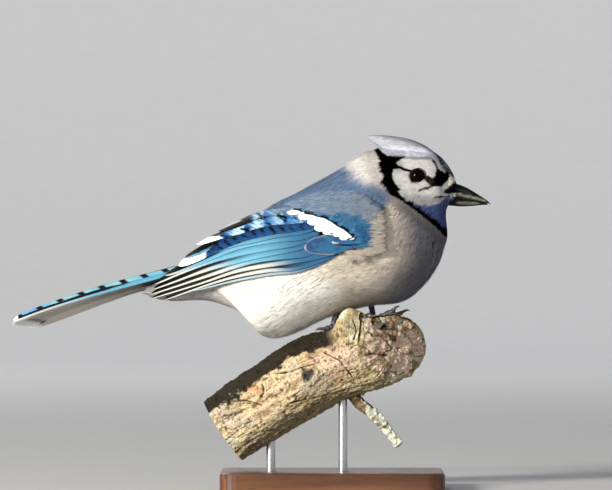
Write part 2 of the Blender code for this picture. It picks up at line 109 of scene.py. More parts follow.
# %% [markdown]
# ## Arithmetic on sockets
#
# A node material is a sum worked out for every point of a surface, so it reads best as a sum.
# `Socket` wraps the output of a node: subtracting it, multiplying it and taking its `abs` make
# Math nodes. `Finish` is one material, and its `node` makes any other node.


# %% Two small classes for materials
class Socket:
    """The output of a node. Each sign used on it, also with a number on its left, adds a Math node."""

    def __init__(self, finish, out):
        self.finish, self.out = finish, out

    def math(self, operation, *values):
        return self.finish.node("Math", {"operation": operation}, *values)

    def __abs__(self):
        return self.math("ABSOLUTE", self)

    def __sub__(self, other):
        return self.math("SUBTRACT", self, other)

    def __rsub__(self, other):
        return self.math("SUBTRACT", other, self)

    def __mul__(self, other):
        return self.math("MULTIPLY", self, other)

    __rmul__ = __mul__


class Finish:
    """A material with one Principled shader, whose steady values are given by their sockets' names."""

    def __init__(self, name, **steady):
        self.material = bpy.data.materials.new(name)
        self.material.use_nodes = True
        self.nodes = self.material.node_tree.nodes
        self.shader = self.nodes["Principled BSDF"]
        for word, value in steady.items():
            self.feed(word.replace("_", " ").title().replace("Ior", "IOR"), value)

    def feed(self, name, value, node=None):
        """Links a Socket to an input, or gives the input a steady value."""
        socket = (node or self.shader).inputs[name]
        if isinstance(value, Socket):
            self.material.node_tree.links.new(value.out, socket)
        else:
            socket.default_value = value

    def node(self, kind, settings=None, *values, output=0, **named):
        """Makes a node: its settings first, then its sockets in order, where None skips one, then its
        sockets by name."""
        made = self.nodes.new("ShaderNode" + kind)
        for word, value in (settings or {}).items():
            setattr(made, word, value)
        for index, value in enumerate(values):
            if value is not None:
                self.feed(index, value, made)
        for word, value in named.items():
            self.feed(word.replace("_", " "), value, made)
        return Socket(self, made.outputs[output])

    def mix(self, factor, first, second, blend="MIX"):
        """Mixes two colours. The five sockets before them are for numbers and vectors."""
        settings = {"data_type": "RGBA", "blend_type": blend}
        return self.node("Mix", settings, factor, *[None] * 5, first, second, output=2)

    def place(self, scale=None):
        """Object coordinates, the fourth output of Texture Coordinate, stretched where a scale is given."""
        spot = self.node("TexCoord", output=3)
        return self.node("Mapping", {"vector_type": "POINT"}, spot, Scale=scale) if scale else spot

    def noise(self, scale, detail, spot=None):
        """Noise over object coordinates, unless another place is given."""
        return self.node("TexNoise", None, Vector=spot or self.place(), Scale=scale, Detail=detail)

    def range(self, value, low, high, to_low=0.0, to_high=1.0):
        return self.node("MapRange", {"interpolation_type": "SMOOTHSTEP"}, value, low, high, to_low, to_high)

    def bump(self, height, strength, distance):
        self.feed("Normal", self.node("Bump", None, Strength=strength, Distance=distance, Height=height))

    def tinted(self, grain, low, high):
        """The base colour is the piece's own tint times a grey that follows a grain of 0.3 to 0.7."""
        grey = self.range(grain, 0.3, 0.7, low, high)
        grey = self.node("CombineColor", None, grey, grey, grey)
        tint = self.node("Attribute", {"attribute_name": "tint"})
        self.feed("Base Color", self.mix(1.0, tint, grey, "MULTIPLY"))


def rgb(*eye):
    """A colour as the eye gives it, each part 0 to 255, made linear for the renderer by a power of 2.2."""
    return np.array([(part / 255) ** 2.2 for part in eye])


def opaque(*eye):
    """The same colour for a node's socket, where a fourth part of 1 makes it opaque."""
    return (*rgb(*eye), 1)


print("classes: Socket, Finish")

# %% [markdown]
# ## Curves, colours, noise and meshes
#
# Every surface below is a function of two parameters that is worked out on a grid. A few helpers
# serve them all: a smooth curve through the rows of a table, colours laid over each other by shares
# from 0 to 1, a smooth random field, and a maker that puts whole arrays into a mesh at once.


# %% Curves through tables, and smooth steps
def spline(rows, at):
    """Rows of a table read between its rows, on a cubic curve through every row, its slope half the
    step from the row before to the row after."""
    rows = np.asarray(rows, float)
    at = np.clip(np.asarray(at, float), 0, len(rows) - 1)
    first = np.minimum(at.astype(int), len(rows) - 2)
    share = (at - first)[..., None]
    padded = np.concatenate([2 * rows[:1] - rows[1:2], rows, 2 * rows[-1:] - rows[-2:-1]])
    a, b, c, d = (padded[first + k] for k in range(4))
    return b + 0.5 * share * (c - a + share * (2 * a - 5 * b + 4 * c - d + share * (3 * (b - c) + d - a)))


def table(rows, x):
    """Columns after the first, read by straight lines at values of the first column."""
    rows = np.asarray(rows, float)
    order = np.argsort(rows[:, 0])
    return [np.interp(x, rows[order, 0], rows[order, k]) for k in range(1, rows.shape[1])]


def soft(value, low, high):
    """0 below low, 1 above high, and 3t^2 - 2t^3 between them."""
    t = np.clip((value - low) / (high - low), 0, 1)
    return t * t * (3 - 2 * t)


def unit(vectors):
    return vectors / np.maximum(np.linalg.norm(vectors, axis=-1, keepdims=True), 1e-9)


# %% Colours over each other
def mixed(first, second, share):
    """The first colour, with a share from 0 to 1 of the second in it."""
    share = np.asarray(share)[..., None]
    return np.asarray(first) * (1 - share) + np.asarray(second) * share


def painted(ground, *layers):
    """A ground with colours laid over it in order, each one by its own share."""
    for colour, share in layers:
        ground = mixed(ground, colour, share)
    return ground


# %% A smooth random field
CELLS = 32
LATTICE = np.random.default_rng(7).uniform(-1, 1, (CELLS, CELLS, CELLS))
FIRST_SHIFT, OCTAVE_SHIFT = 0.31, 13.7


def rough(points, size, octaves=1):
    """Random numbers from -1 to 1 at the corners of cubes of a size, blended by smooth steps between
    them. Each further octave halves the cubes and the height, and is shifted against the last."""
    total, height = 0.0, 1.0
    for octave in range(octaves):
        cell = np.asarray(points) / size * 2**octave + OCTAVE_SHIFT * octave + FIRST_SHIFT
        low = np.floor(cell).astype(int)
        t = soft(cell - low, 0, 1)
        low, high = low % CELLS, (low + 1) % CELLS
        x0, y0, z0, x1, y1, z1 = *np.moveaxis(low, -1, 0), *np.moveaxis(high, -1, 0)
        tx, ty, tz = np.moveaxis(t, -1, 0)
        rows = [LATTICE[x0, y, z] * (1 - tx) + LATTICE[x1, y, z] * tx for y in (y0, y1) for z in (z0, z1)]
        flats = [rows[k] * (1 - ty) + rows[k + 2] * ty for k in (0, 1)]
        total = total + height * (flats[0] * (1 - tz) + flats[1] * tz)
        height *= 0.5
    return total


# %% Meshes from arrays
def make_mesh(name, verts, loops, starts, finish, replaced=(), tints=None, maps=(), thick=0.0):
    """Puts a mesh's arrays into Blender: corner numbers of all faces in a row, and where each face
    starts. Tints are a colour for each point, and maps hold a place for each point."""
    mesh = bpy.data.meshes.new(name)
    verts = np.asarray(verts, float).reshape(-1, 3) * MM
    loops = np.asarray(loops).ravel()
    mesh.vertices.add(len(verts))
    mesh.vertices.foreach_set("co", verts.ravel())
    mesh.loops.add(len(loops))
    mesh.loops.foreach_set("vertex_index", loops.astype(np.int32))
    mesh.polygons.add(len(starts))
    mesh.polygons.foreach_set("loop_start", np.asarray(starts, np.int32))
    mesh.update(calc_edges=True)
    mesh.validate()
    mesh.shade_smooth()
    if tints is not None:
        layer = mesh.color_attributes.new("tint", "FLOAT_COLOR", "POINT")
        whole = np.ones((len(verts), 4))
        whole[:, :3] = np.asarray(tints).reshape(-1, 3)
        layer.data.foreach_set("color", whole.ravel())
    for word, places in dict(maps).items():
        layer = mesh.uv_layers.new(name=word)
        layer.uv.foreach_set("vector", np.asarray(places).reshape(-1, 2)[loops].ravel())
    mesh.materials.append(finish.material)
    piece = bpy.data.objects.new(name, mesh)
    bpy.context.scene.collection.objects.link(piece)
    if thick:
        wall = piece.modifiers.new("thickness", "SOLIDIFY")
        wall.thickness, wall.offset = thick * MM, 0.0
    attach(piece, "root")
    if replaced:
        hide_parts(*replaced)


def grid_quads(rows, columns, closed=False):
    """The quads of a grid whose points are numbered row by row. A closed grid joins its last column
    to its first."""
    i, j = np.meshgrid(np.arange(rows - 1), np.arange(columns if closed else columns - 1), indexing="ij")
    k = (j + 1) % columns
    corners = [i * columns + j, (i + 1) * columns + j, (i + 1) * columns + k, i * columns + k]
    return np.stack(corners, -1).reshape(-1, 4)


def surface(name, points, finish, closed=False, caps=(), flip=False, tints=None, replaced=()):
    """A piece from a grid of points. Each cap, 0 or 1, is a fan from the middle of the first or last row."""
    rows, columns = points.shape[:2]
    quads = grid_quads(rows, columns, closed)
    verts, fans = points.reshape(-1, 3), [np.zeros((0, 3), int)]
    if tints is not None:
        tints = tints.reshape(-1, 3)
    for end in caps:
        ring = end * (rows - 1) * columns + np.arange(columns)
        following = np.roll(ring, -1)
        middle = np.full(columns, len(verts))
        verts = np.vstack([verts, verts[ring].mean(axis=0)])
        fans.append(np.stack([middle, following, ring] if end else [middle, ring, following], -1))
        if tints is not None:
            tints = np.vstack([tints, tints[ring].mean(axis=0)])
    fans = np.concatenate(fans)
    if flip:
        quads, fans = quads[:, ::-1], fans[:, ::-1]
    loops = np.concatenate([quads.ravel(), fans.ravel()])
    starts = np.concatenate([np.arange(len(quads)) * 4, len(quads) * 4 + np.arange(len(fans)) * 3])
    make_mesh(name, verts, loops, starts, finish, replaced, tints)
    print(f"{name}: {len(quads) * 2 + len(fans)} triangles")


# %% [markdown]
# ## The body as sections
#
# A bird's body has no flat sides and no edges to start from. It is a smooth tube that swells and
# bends, so it is given as sections like the frames of a boat: the top and the bottom of each one
# as seen from the side, its half width, and how far down it is widest. `body` reads the sections
# anywhere, `u` along them and `v` round them, and can also stand off from the surface or lie
# inside it, which is what the skin and the feathers need.

# %% The body's sections, from the bill's base to the undertail
BODY = np.array([
    (69.4, 169.2, 64.4, 156.7, 5.2, 0.55),
    (66.7, 176.1, 63.6, 155.0, 8.8, 0.58),
    (61.7, 182.8, 63.3, 152.8, 12.0, 0.60),
    (53.9, 187.6, 63.4, 150.0, 14.6, 0.60),
    (43.3, 190.0, 63.8, 147.0, 16.0, 0.60),
    (33.3, 190.0, 64.2, 143.9, 17.0, 0.58),
    (24.6, 188.6, 64.3, 140.0, 18.4, 0.55),
    (15.6, 186.2, 63.2, 134.5, 21.0, 0.52),
    (4.4, 178.2, 59.4, 123.9, 26.3, 0.50),
    (-7.8, 171.2, 51.7, 112.8, 30.8, 0.50),
    (-22.2, 163.2, 39.4, 103.4, 33.0, 0.50),
    (-36.7, 153.6, 19.4, 100.8, 33.0, 0.50),
    (-50.0, 144.8, -2.8, 94.2, 31.0, 0.52),
    (-62.2, 136.6, -23.3, 84.8, 27.0, 0.54),
    (-72.2, 129.0, -37.8, 84.2, 21.5, 0.54),
    (-80.0, 123.6, -50.0, 97.2, 16.0, 0.52),
    (-88.0, 117.8, -69.4, 104.4, 11.0, 0.50),
    (-97.0, 112.6, -88.9, 104.2, 7.5, 0.50),
    (-106.5, 110.2, -105.8, 107.6, 4.0, 0.50),
])


def body(u, v, rise):
    """A point on the section at u: from its top by a share of its height, (widest - reach cos v), and
    out by its half width times sin v. v is 0 at the top and turns towards the bird's right."""
    x_top, z_top, x_low, z_low, half, widest = np.moveaxis(spline(BODY, u), -1, 0)
    along = np.stack([x_low - x_top, z_low - z_top], -1)
    length = np.linalg.norm(along, axis=-1)
    reach = np.where(np.cos(v) > 0, widest, 1 - widest) + rise / length
    share = widest - reach * np.cos(v)
    x, z = x_top + along[..., 0] * share, z_top + along[..., 1] * share
    return np.stack([x, -(half + rise) * np.sin(v), z], -1)


# Along the sections: how deep the coat is, and a feather's length and half width
COAT = np.array([
    (0.0, 0.5, 1.3, 0.40),
    (1.0, 0.8, 1.7, 0.46),
    (3.0, 1.2, 2.4, 0.60),
    (5.0, 1.8, 3.6, 0.9),
    (7.0, 2.6, 6.0, 1.4),
    (9.0, 3.2, 8.4, 1.9),
    (12.0, 3.6, 10.0, 2.3),
    (15.0, 3.2, 10.0, 2.2),
    (16.5, 1.8, 8.0, 1.8),
    (18.0, 0.8, 5.0, 1.2),
])
print(f"body: {len(BODY)} sections over {BODY[0, 0] - BODY[-1, 0]:.0f} mm")

# %% [markdown]
# ## The folded wing's face
#
# Seen from the side the folded wing is a long leaf. It lies on the flank in front and stands on
# its own behind, so its outer face is the higher of two: the flank plus a little, and an arched
# shell. The body's breadth at a point seen from the side has no formula. It is found by halving
# the sections again and again, once for a whole raster of points, and read from the raster.

# %% How far the flank and the wing lie to the side
WING_UPPER = np.array([
    (26.1, 148.9), (11.1, 156.4), (-10.0, 156.7), (-32.2, 152.8),
    (-50.0, 147.5), (-67.8, 137.2), (-83.3, 125.0), (-99.4, 105.6),
])
WING_LOWER = np.array([
    (26.1, 138.9), (12.2, 131.1), (-6.7, 125.8), (-27.8, 120.6),
    (-47.2, 116.1), (-65.6, 111.1), (-83.3, 106.7), (-99.2, 103.3),
])
# x, then z of the shell's middle, its half height and its half width
WING_SHELL = np.array([
    (30.0, 115.6, 42.0, 26.0),
    (-22.2, 115.6, 42.2, 31.5),
    (-44.4, 112.8, 38.9, 28.0),
    (-72.2, 108.9, 29.0, 20.5),
    (-94.4, 104.4, 14.0, 14.0),
    (-101.0, 103.9, 10.0, 12.5),
])
WING_LIFT = 1.3
STEEPEST = 1.2
RASTER_X = np.arange(-112.0, 36.0, 1.0)
RASTER_Z = np.arange(92.0, 170.0, 1.0)


def body_side(x, z):
    """The body's breadth at x and z: thirty halvings find the section that passes through them, behind
    the head."""
    low, high = np.full(np.shape(x), 5.0), np.full(np.shape(x), len(BODY) - 1.0)
    for _ in range(30):
        middle = (low + high) / 2
        x_top, z_top, x_low, z_low, half, widest = np.moveaxis(spline(BODY, middle), -1, 0)
        ahead = (x_low - x_top) * (z - z_top) - (z_low - z_top) * (x - x_top)
        low, high = np.where(ahead > 0, low, middle), np.where(ahead > 0, middle, high)
    x_top, z_top, x_low, z_low, half, widest = np.moveaxis(spline(BODY, (low + high) / 2), -1, 0)
    along_x, along_z = x_low - x_top, z_low - z_top
    share = ((x - x_top) * along_x + (z - z_top) * along_z) / (along_x**2 + along_z**2)
    off = (share - widest) / np.where(share < widest, widest, 1 - widest)
    return half * np.sqrt(np.clip(1 - off**2, 0, 1))


def wing_side(x, z):
    """The higher of shell and flank, rounded where they cross: half their sum, plus half the root of
    their difference squared and 4."""
    middle, half_height, half_width = table(WING_SHELL, x)
    shell = half_width * np.sqrt(np.clip(1 - ((z - middle) / half_height) ** 2, 0, 1))
    flank = body_side(x, z) + WING_LIFT
    return 0.5 * (shell + flank + np.sqrt((shell - flank) ** 2 + 4.0))


SIDE_RASTER = wing_side(*np.meshgrid(RASTER_X, RASTER_Z, indexing="ij"))


def wing(x, z, rise, side):
    """A point on the wing's face, blended from the raster's four nearest values, and moved out along
    the face's normal by the rise. The side is -1 for the right wing and 1 for the left."""
    def breadth(x, z):
        i = np.clip(x - RASTER_X[0], 0, len(RASTER_X) - 1.001)
        j = np.clip(z - RASTER_Z[0], 0, len(RASTER_Z) - 1.001)
        a, b = i.astype(int), j.astype(int)
        s, t = i - a, j - b
        near = SIDE_RASTER[a, b] * (1 - t) + SIDE_RASTER[a, b + 1] * t
        far = SIDE_RASTER[a + 1, b] * (1 - t) + SIDE_RASTER[a + 1, b + 1] * t
        return near * (1 - s) + far * s

    x, z = np.asarray(x, float), np.asarray(z, float)
    out = breadth(x, z)
    slope_x = np.clip((breadth(x + 1, z) - breadth(x - 1, z)) / 2, -STEEPEST, STEEPEST)
    slope_z = np.clip((breadth(x, z + 1) - breadth(x, z - 1)) / 2, -STEEPEST, STEEPEST)
    normal = unit(np.stack([-slope_x, np.ones_like(out), -slope_z], -1))
    points = np.stack([x, out, z], -1) + normal * np.asarray(rise)[..., None]
    return points * (1, side, 1)


print(f"wing raster: {SIDE_RASTER.shape}, widest {SIDE_RASTER.max():.1f} mm")

# %% [markdown]
# ## The markings
#
# A jay's face is a pattern of clean edges, and they make the bird. Each mark is an outline or a
# line read off the photograph. One function, `plumage`, paints them in order over the ground
# colours of the body, and both skin and feathers ask it for their colour. It works on places on
# the bird, so nothing is a picture: the left side is the mirror of the right.


# %% Distances to lines and outlines
def away(points, line):
    """The distance from each point to a broken line: the nearest of its pieces, found by dropping the
    point square on to each piece."""
    nearest = np.full(points.shape[:-1], 1e9)
    for a, b in zip(line[:-1], line[1:]):
        share = np.clip(((points - a) @ (b - a)) / ((b - a) @ (b - a)), 0, 1)
        nearest = np.minimum(nearest, np.linalg.norm(points - (a + share[..., None] * (b - a)), axis=-1))
    return nearest


def inside(points, outline):
    """The depth of each point inside an outline, negative outside. A level line from a point crosses
    the outline an odd number of times if the point is inside."""
    closed = np.vstack([outline, outline[:1]])
    crossed = np.zeros(points.shape[:-1], bool)
    for a, b in zip(closed[:-1], closed[1:]):
        if a[1] != b[1]:
            spans = (a[1] > points[..., 1]) != (b[1] > points[..., 1])
            crossing = a[0] + (points[..., 1] - a[1]) / (b[1] - a[1]) * (b[0] - a[0])
            crossed ^= spans & (points[..., 0] < crossing)
    return np.where(crossed, 1, -1) * away(points, closed)


# %% Outlines of the marks, in the photograph's pixels
HOOD = seen_at((376, 149), (382, 160), (386, 175), (388, 188), (400, 200), (415, 212), (432, 224),
               (450, 238), (470, 238), (470, 130), (376, 130))
NECKLACE = seen_at((373, 149), (377, 147.5), (381, 151.5), (386, 155.5), (395, 157), (404, 157),
                   (400, 159.5), (395.5, 163.5), (398, 166), (403, 169), (398, 169), (392.5, 170),
                   (392, 174.5), (393.5, 182), (397, 187), (400, 190.5), (396.5, 191.5), (402, 197),
                   (407, 202.5), (406, 204.5), (397, 199.5), (389, 195), (383, 189), (379.5, 184),
                   (382, 178), (377.5, 170.5), (376.5, 163.5), (379, 161))
THROAT_BAND = seen_at((398, 197.5), (402, 200.5), (406, 203), (414, 208.5), (422, 214.5), (430.5, 221),
                      (436, 225.5), (443.5, 232), (449, 236))
# A soft grey line along the lower edge of the crest: painted shade under the crest
CREST_SHADE_LINE = seen_at((393, 157), (404, 157.5), (418, 158.5), (429, 158))
EYELINE = seen_at((399, 167.5), (404, 170), (411, 172.5))
LORES = seen_at((430.5, 159), (433.5, 160.5), (436, 163.5), (437.5, 168), (440.5, 171.5), (446, 172.5),
                (452, 174.5), (449.5, 178.5), (445.5, 182), (442, 186), (438, 187.5), (433, 187),
                (429, 185.5), (425.5, 183), (423.5, 179.5), (424, 176), (428, 176.5), (431.5, 178),
                (434, 176), (435.5, 171), (434.5, 165.5))
CHEEK_LINE = seen_at((418.5, 191), (423, 189), (427.5, 188), (432, 186.5))
GAPE_LINE = seen_at((434, 198), (441, 197), (449, 197))
CROWN = seen_at((360, 130), (360, 146), (374, 149.5), (386, 155.5), (397, 157.5), (412, 157.5),
                (428, 156.5), (434, 159.5), (439, 166), (444, 172), (452, 176), (458, 180), (478, 180),
                (478, 120), (360, 120))
FOREHEAD = seen_at((427, 145), (432, 151), (437, 157.5), (440, 164), (445, 172), (452, 178), (464, 182),
                   (464, 164), (450, 146), (434, 136))
BRISTLES = seen_at((441, 187.5), (446, 181.5), (450.5, 177.5), (457, 178.5), (454, 182.5), (449, 187),
                   (444, 190))
NASAL = seen_at((444, 190), (449, 187), (454, 182.5), (457, 178.5), (464, 182), (462, 192),
                (449, 194.5), (443, 193))
# Chin and throat under the bill: painted shade, dark blue-violet, over a throat that is pale grey
SHADED_CHIN = seen_at((404, 203), (409, 203), (416, 205.5), (426, 206.5), (434, 205), (440, 202.5), (444, 198),
               (449, 198), (460, 200), (462, 240), (452, 238), (441, 229), (428, 219), (414, 208.5))
CHEEK_SHADE = seen_at((402, 198), (412, 193), (430, 196), (441, 196), (444, 203), (426, 209),
                      (412, 206))
# The front and lower breast: the bird's own grey breast, with painted shade over it where the breast turns
# away from the light
SHADED_FRONT = seen_at((404, 208), (430, 221), (446, 232), (462, 236), (456, 300), (400, 330), (364, 316),
                (390, 292), (410, 262), (408, 230))
NAPE = seen_at((340, 160), (352, 152), (372, 140), (384, 148), (385, 175), (386, 188), (378, 189),
               (367, 185), (356, 178), (346, 169))
PALE_REAR = seen_at((243, 300), (262, 280), (300, 275), (330, 290), (310, 322), (280, 345), (245, 335))
# A band just ahead of the wing, painted lighter to cancel the shade of the step from the wing down to the
# breast
LIGHT_BAND_BY_WING = seen_at((380, 206), (389, 206), (392, 262), (380, 262))
HEAD_FROM = -6.0
# Where the blue of the back begins: x, and z at each
BACK_LINE = ((-110, -80, -45, 0, 22, 34, 46), (112, 118, 139, 146, 150, 160, 175))
# The throat band's half width: x, and the half width at each
BAND_WIDTH = ((36, 40, 45, 58, 64), (0.7, 0.95, 1.1, 1.3, 2.1))

GROUNDS = {
    "mantle": rgb(101, 122, 151),
    "rump": rgb(88, 124, 164),
    "nape": rgb(218, 213, 207),
    "breast": rgb(208, 196, 180),
    "flank": rgb(248, 238, 216),
    "belly": rgb(251, 249, 242),
    # vent and undertail: white feathers greyed by painted shade; the undertail also runs into the tail's
    # grey underside
    "vent": rgb(200, 199, 197),
    "undertail": rgb(160, 157, 154),
    "face": rgb(203, 202, 199),
    "cheek": rgb(152, 150, 148),
    "crown": rgb(196, 198, 209),
    "crown_pale": rgb(224, 225, 232),
    "crown_dark": rgb(146, 152, 178),
    "crown_shade": rgb(0, 0, 0),
    # painted shade under the crest's edge
    "brow": rgb(104, 104, 114),
    "black": rgb(12, 12, 14),
    "brown": rgb(62, 55, 46),
    # painted shade under the bill
    "shaded_chin": rgb(78, 88, 132),
    # painted shade over the grey breast front
    "front": rgb(98, 100, 112),
    "forehead": rgb(46, 52, 100),
    "bristle": rgb(236, 230, 214),
    "nasal": rgb(26, 27, 36),
}


# %% The colour of the coat anywhere
def body_colours(points):
    """Grounds that run into each other: breast to flank to belly and vent, and the mantle above. Vent and
    undertail are greyed by painted shade, and a band ahead of the wing is painted lighter.
    """
    x, _, z = np.moveaxis(points, -1, 0)
    seen = points[..., (0, 2)]
    blotch = rough(points, 9.0, 2)
    back = soft(z - np.interp(x, *BACK_LINE) + 2 * blotch, -3, 3) * soft(-x, -38, -26)
    return painted(
        GROUNDS["flank"],
        (GROUNDS["breast"], soft(x, -30 - 4 * blotch, 35)),
        (GROUNDS["belly"], soft(inside(seen, PALE_REAR) + 2 * blotch, -15, 6)),
        # painted shade on the lower rear of the belly and the vent
        (GROUNDS["vent"], soft(-x, 48, 66) * soft(120 - z, 0, 12)),
        # painted shade on the undertail, and a blend into the tail's grey underside
        (GROUNDS["undertail"], soft(-x, 84, 94)),
        # painted light over the shaded step ahead of the wing
        (GROUNDS["flank"], 0.8 * soft(inside(seen, LIGHT_BAND_BY_WING) + blotch, -3, 2)),
        (GROUNDS["mantle"], back),
        (GROUNDS["rump"], 0.5 * soft(-x, 30, 60) * back),
    )


def head_colours(points, fleck, colours):
    """The marks of head and throat in order, each one over those before it."""
    x, _, z = np.moveaxis(points, -1, 0)
    seen = points[..., (0, 2)]
    blotch = rough(points, 9.0, 2)
    frayed = 0.3 * rough(points, 1.3)

    def within(outline, low, high, wobble=0.0):
        return soft(inside(seen, outline) + wobble, low, high)

    def near(line, half, blur=0.3):
        return soft(half - away(seen, line), -blur, blur)

    crown = within(CROWN, -0.4, 0.4)
    forehead = within(FOREHEAD, -0.7, 1.0, 2 * frayed)
    lores = within(LORES, -0.4, 0.4, 1.6 * frayed)
    return painted(
        colours,
        (GROUNDS["nape"], within(NAPE, -5, 3, 1.5 * blotch)),
        # the breast front: grey breast with painted shade
        (GROUNDS["front"], 0.9 * within(SHADED_FRONT, -15, 7, blotch)),
        (GROUNDS["face"], within(HOOD, -0.3, 0.3)),
        (GROUNDS["cheek"], 0.8 * within(CHEEK_SHADE, -1.5, 3, blotch)),
        # painted shade on the chin and throat under the bill
        (GROUNDS["shaded_chin"], within(SHADED_CHIN, -0.7, 0.9, frayed)),
        (GROUNDS["crown"], crown),
        (GROUNDS["crown_pale"], 0.75 * crown * soft(fleck, 0.55, 0.9)),
        (GROUNDS["crown_dark"], 0.5 * crown * soft(0.35 - fleck, 0, 0.25)),
        (GROUNDS["crown_shade"], 0.42 * crown * soft(z, 187, 191.5)),
        (GROUNDS["forehead"], 0.9 * forehead),
        (GROUNDS["black"], forehead * (fleck > 0.45)),
        (GROUNDS["crown_pale"], 0.9 * forehead * (fleck < 0.15)),
        # painted shade under the crest's edge
        (GROUNDS["brow"], 0.7 * near(CREST_SHADE_LINE, 0.8 + frayed, 0.5)),
        (GROUNDS["black"], within(NECKLACE, -0.3, 0.3, frayed)),
        (GROUNDS["black"], near(THROAT_BAND, np.interp(x, *BAND_WIDTH) + frayed)),
        (GROUNDS["black"], near(EYELINE, 0.75)),
        (GROUNDS["black"], lores),
        (GROUNDS["brown"], lores * soft(57.5 - x, 0, 4) * soft(fleck, 0.4, 0.6)),
        (GROUNDS["black"], 0.9 * near(CHEEK_LINE, 0.6 + 1.6 * frayed)),
        (GROUNDS["black"], 0.9 * near(GAPE_LINE, 0.6 + 1.6 * frayed)),
        (GROUNDS["nasal"], within(NASAL, -0.4, 0.4)),
        (GROUNDS["bristle"], within(BRISTLES, -0.4, 0.4)),
    )


def plumage(points, fleck=0.0):
    """The colour of the coat at points on the bird. The fleck, 0 to 1, is a feather's own chance, which
    streaks the crown and spots the forehead."""
    colours = body_colours(points)
    ahead = points[..., 0] > HEAD_FROM
    fleck = np.broadcast_to(fleck, ahead.shape)
    colours[ahead] = head_colours(points[ahead], fleck[ahead], colours[ahead])
    return colours


print("marks: necklace, throat band, brow, eyeline, lores, crown, forehead, bristles, nape")

# %% [markdown]
# ## Finishes for feathers
#
# A feather is matt. Its colour comes from the piece's own `tint`, with fine streaks that run
# through it, so that no patch is one flat colour. Big vanes also carry a map in millimetres, across
# and along, where the barbs run out from the shaft at a slant as fine ridges.

# %% The finish of the coat: its tint times a fine noise that is stretched along the body
coat_finish = Finish("coat_feather", roughness=0.85, specular_ior_level=0.0)
coat_finish.tinted(coat_finish.noise(900.0, 3.0, coat_finish.place((0.35, 1.0, 1.0))), 0.87, 1.1)

# %% The finish of the vanes
# Barbs: a sine along (place along the shaft - slant x distance from it), one every 0.5 mm as the rate
# is in radians a millimetre, and a noise that is drawn out along them
BARB_SLANT, BARB_RATE = 1.3, 12.6

quill_finish = Finish("vane_feather", roughness=0.55, specular_ior_level=0.1)
vane_map = quill_finish.node("UVMap", {"uv_map": "vane"})
across, along = (quill_finish.node("SeparateXYZ", None, vane_map, output=part) for part in (0, 1))
barb = (along - abs(across) * BARB_SLANT) * BARB_RATE
drawn_out = quill_finish.node("CombineXYZ", None, barb * 0.8, across * 0.5, 0.0)
quill_finish.tinted(quill_finish.noise(1.0, 2.0, drawn_out), 0.86, 1.12)
quill_finish.bump(barb.math("SINE", barb), 0.35, 0.00006)
print("finishes:", coat_finish.material.name, quill_finish.material.name)

# %% [markdown]
# ## The skin
#
# Under the feathers is one skin from the bill's base to the tail, with the crown raised where the
# crest stands on it. It lies inside the body by the depth of the coat, carries the same marks, and
# is seen only as the shade between feathers. As the head, neck, trunk and crest are replaced by
# one surface, there is no seam between them.

# %% One skin for head, neck, trunk and crest
CROWN_RISE = ((1.6, 3.0, 4.0, 5.0, 5.6, 6.2), (0.0, 1.2, 2.8, 3.6, 1.4, 0.0))


def hide(u, v, rise=0.0):
    """The skin: the body drawn in by the coat's depth, and raised along the crown by a ridge that
    falls off as exp(-(sin v / 0.3)^2)."""
    ridge = np.interp(u, *CROWN_RISE) * np.exp(-((np.sin(v) / 0.3) ** 2)) * (np.cos(v) > 0)
    return body(u, v, rise - table(COAT, u)[0] + ridge)


# The eye's middle and the opening in the coat round it, where the skin is pressed in to a socket
EYE_RADIUS = 5.0
EYE_CENTRE = np.array([47.4, 10.6, 173.4])
OPENING = 3.75
SOCKET_DEPTH, SOCKET_RISE = 12.0, 9.0
SKIN_SHADE = 0.8


def off_eye_axis(points):
    """From the eye's axis, which runs straight across the head, to each point."""
    return points[..., (0, 2)] - EYE_CENTRE[[0, 2]]


u, v = np.meshgrid(np.linspace(0, 18, 200), np.linspace(0, 2 * np.pi, 150, endpoint=False), indexing="ij")
skin_points = hide(u, v)
off_axis = np.linalg.norm(off_eye_axis(skin_points), axis=-1)
socket_depth = SOCKET_DEPTH + SOCKET_RISE * soft(off_axis, OPENING - 0.3, OPENING + 2)
skin_points[..., 1] = np.clip(skin_points[..., 1], -socket_depth, socket_depth)
surface("skin", skin_points, coat_finish, closed=True, caps=(0, 1), flip=True,
        tints=plumage(skin_points) * SKIN_SHADE, replaced=("head", "neck", "trunk", "crest"))

# %% [markdown]
# ## Tufts of barbs
#
# A contour feather is a short shaft with soft barbs on both sides that fall open towards the tip.
# Thousands of them overlap like tiles. Hair particles would be easy, but they are dropped when a
# model is exported, so each tuft is a small mesh: a fan of narrow barbs, each one quad and one
# triangle. `spread` finds the roots, dense where feathers are small, and `barbed` lays the tufts
# along any surface that is a function of two parameters, so that they follow its curve. Every
# barb asks for its own colour, so that a mark keeps a clean edge that is frayed only by its barbs.


# %% Where tufts grow
CHART_STEP = 1e-3
SPREAD_GRID = 181
# Two shares whose multiples, less their whole parts, fill the unit square evenly
EVEN_SHARES = (0.7548776662, 0.5698402910)


def slopes(chart, p, q):
    """How a chart's point moves for each unit of p and of q, from points a small step to either side."""
    along = (chart(p + CHART_STEP, q, 0.0) - chart(p - CHART_STEP, q, 0.0)) / (2 * CHART_STEP)
    across = (chart(p, q + CHART_STEP, 0.0) - chart(p, q - CHART_STEP, 0.0)) / (2 * CHART_STEP)
    return along, across


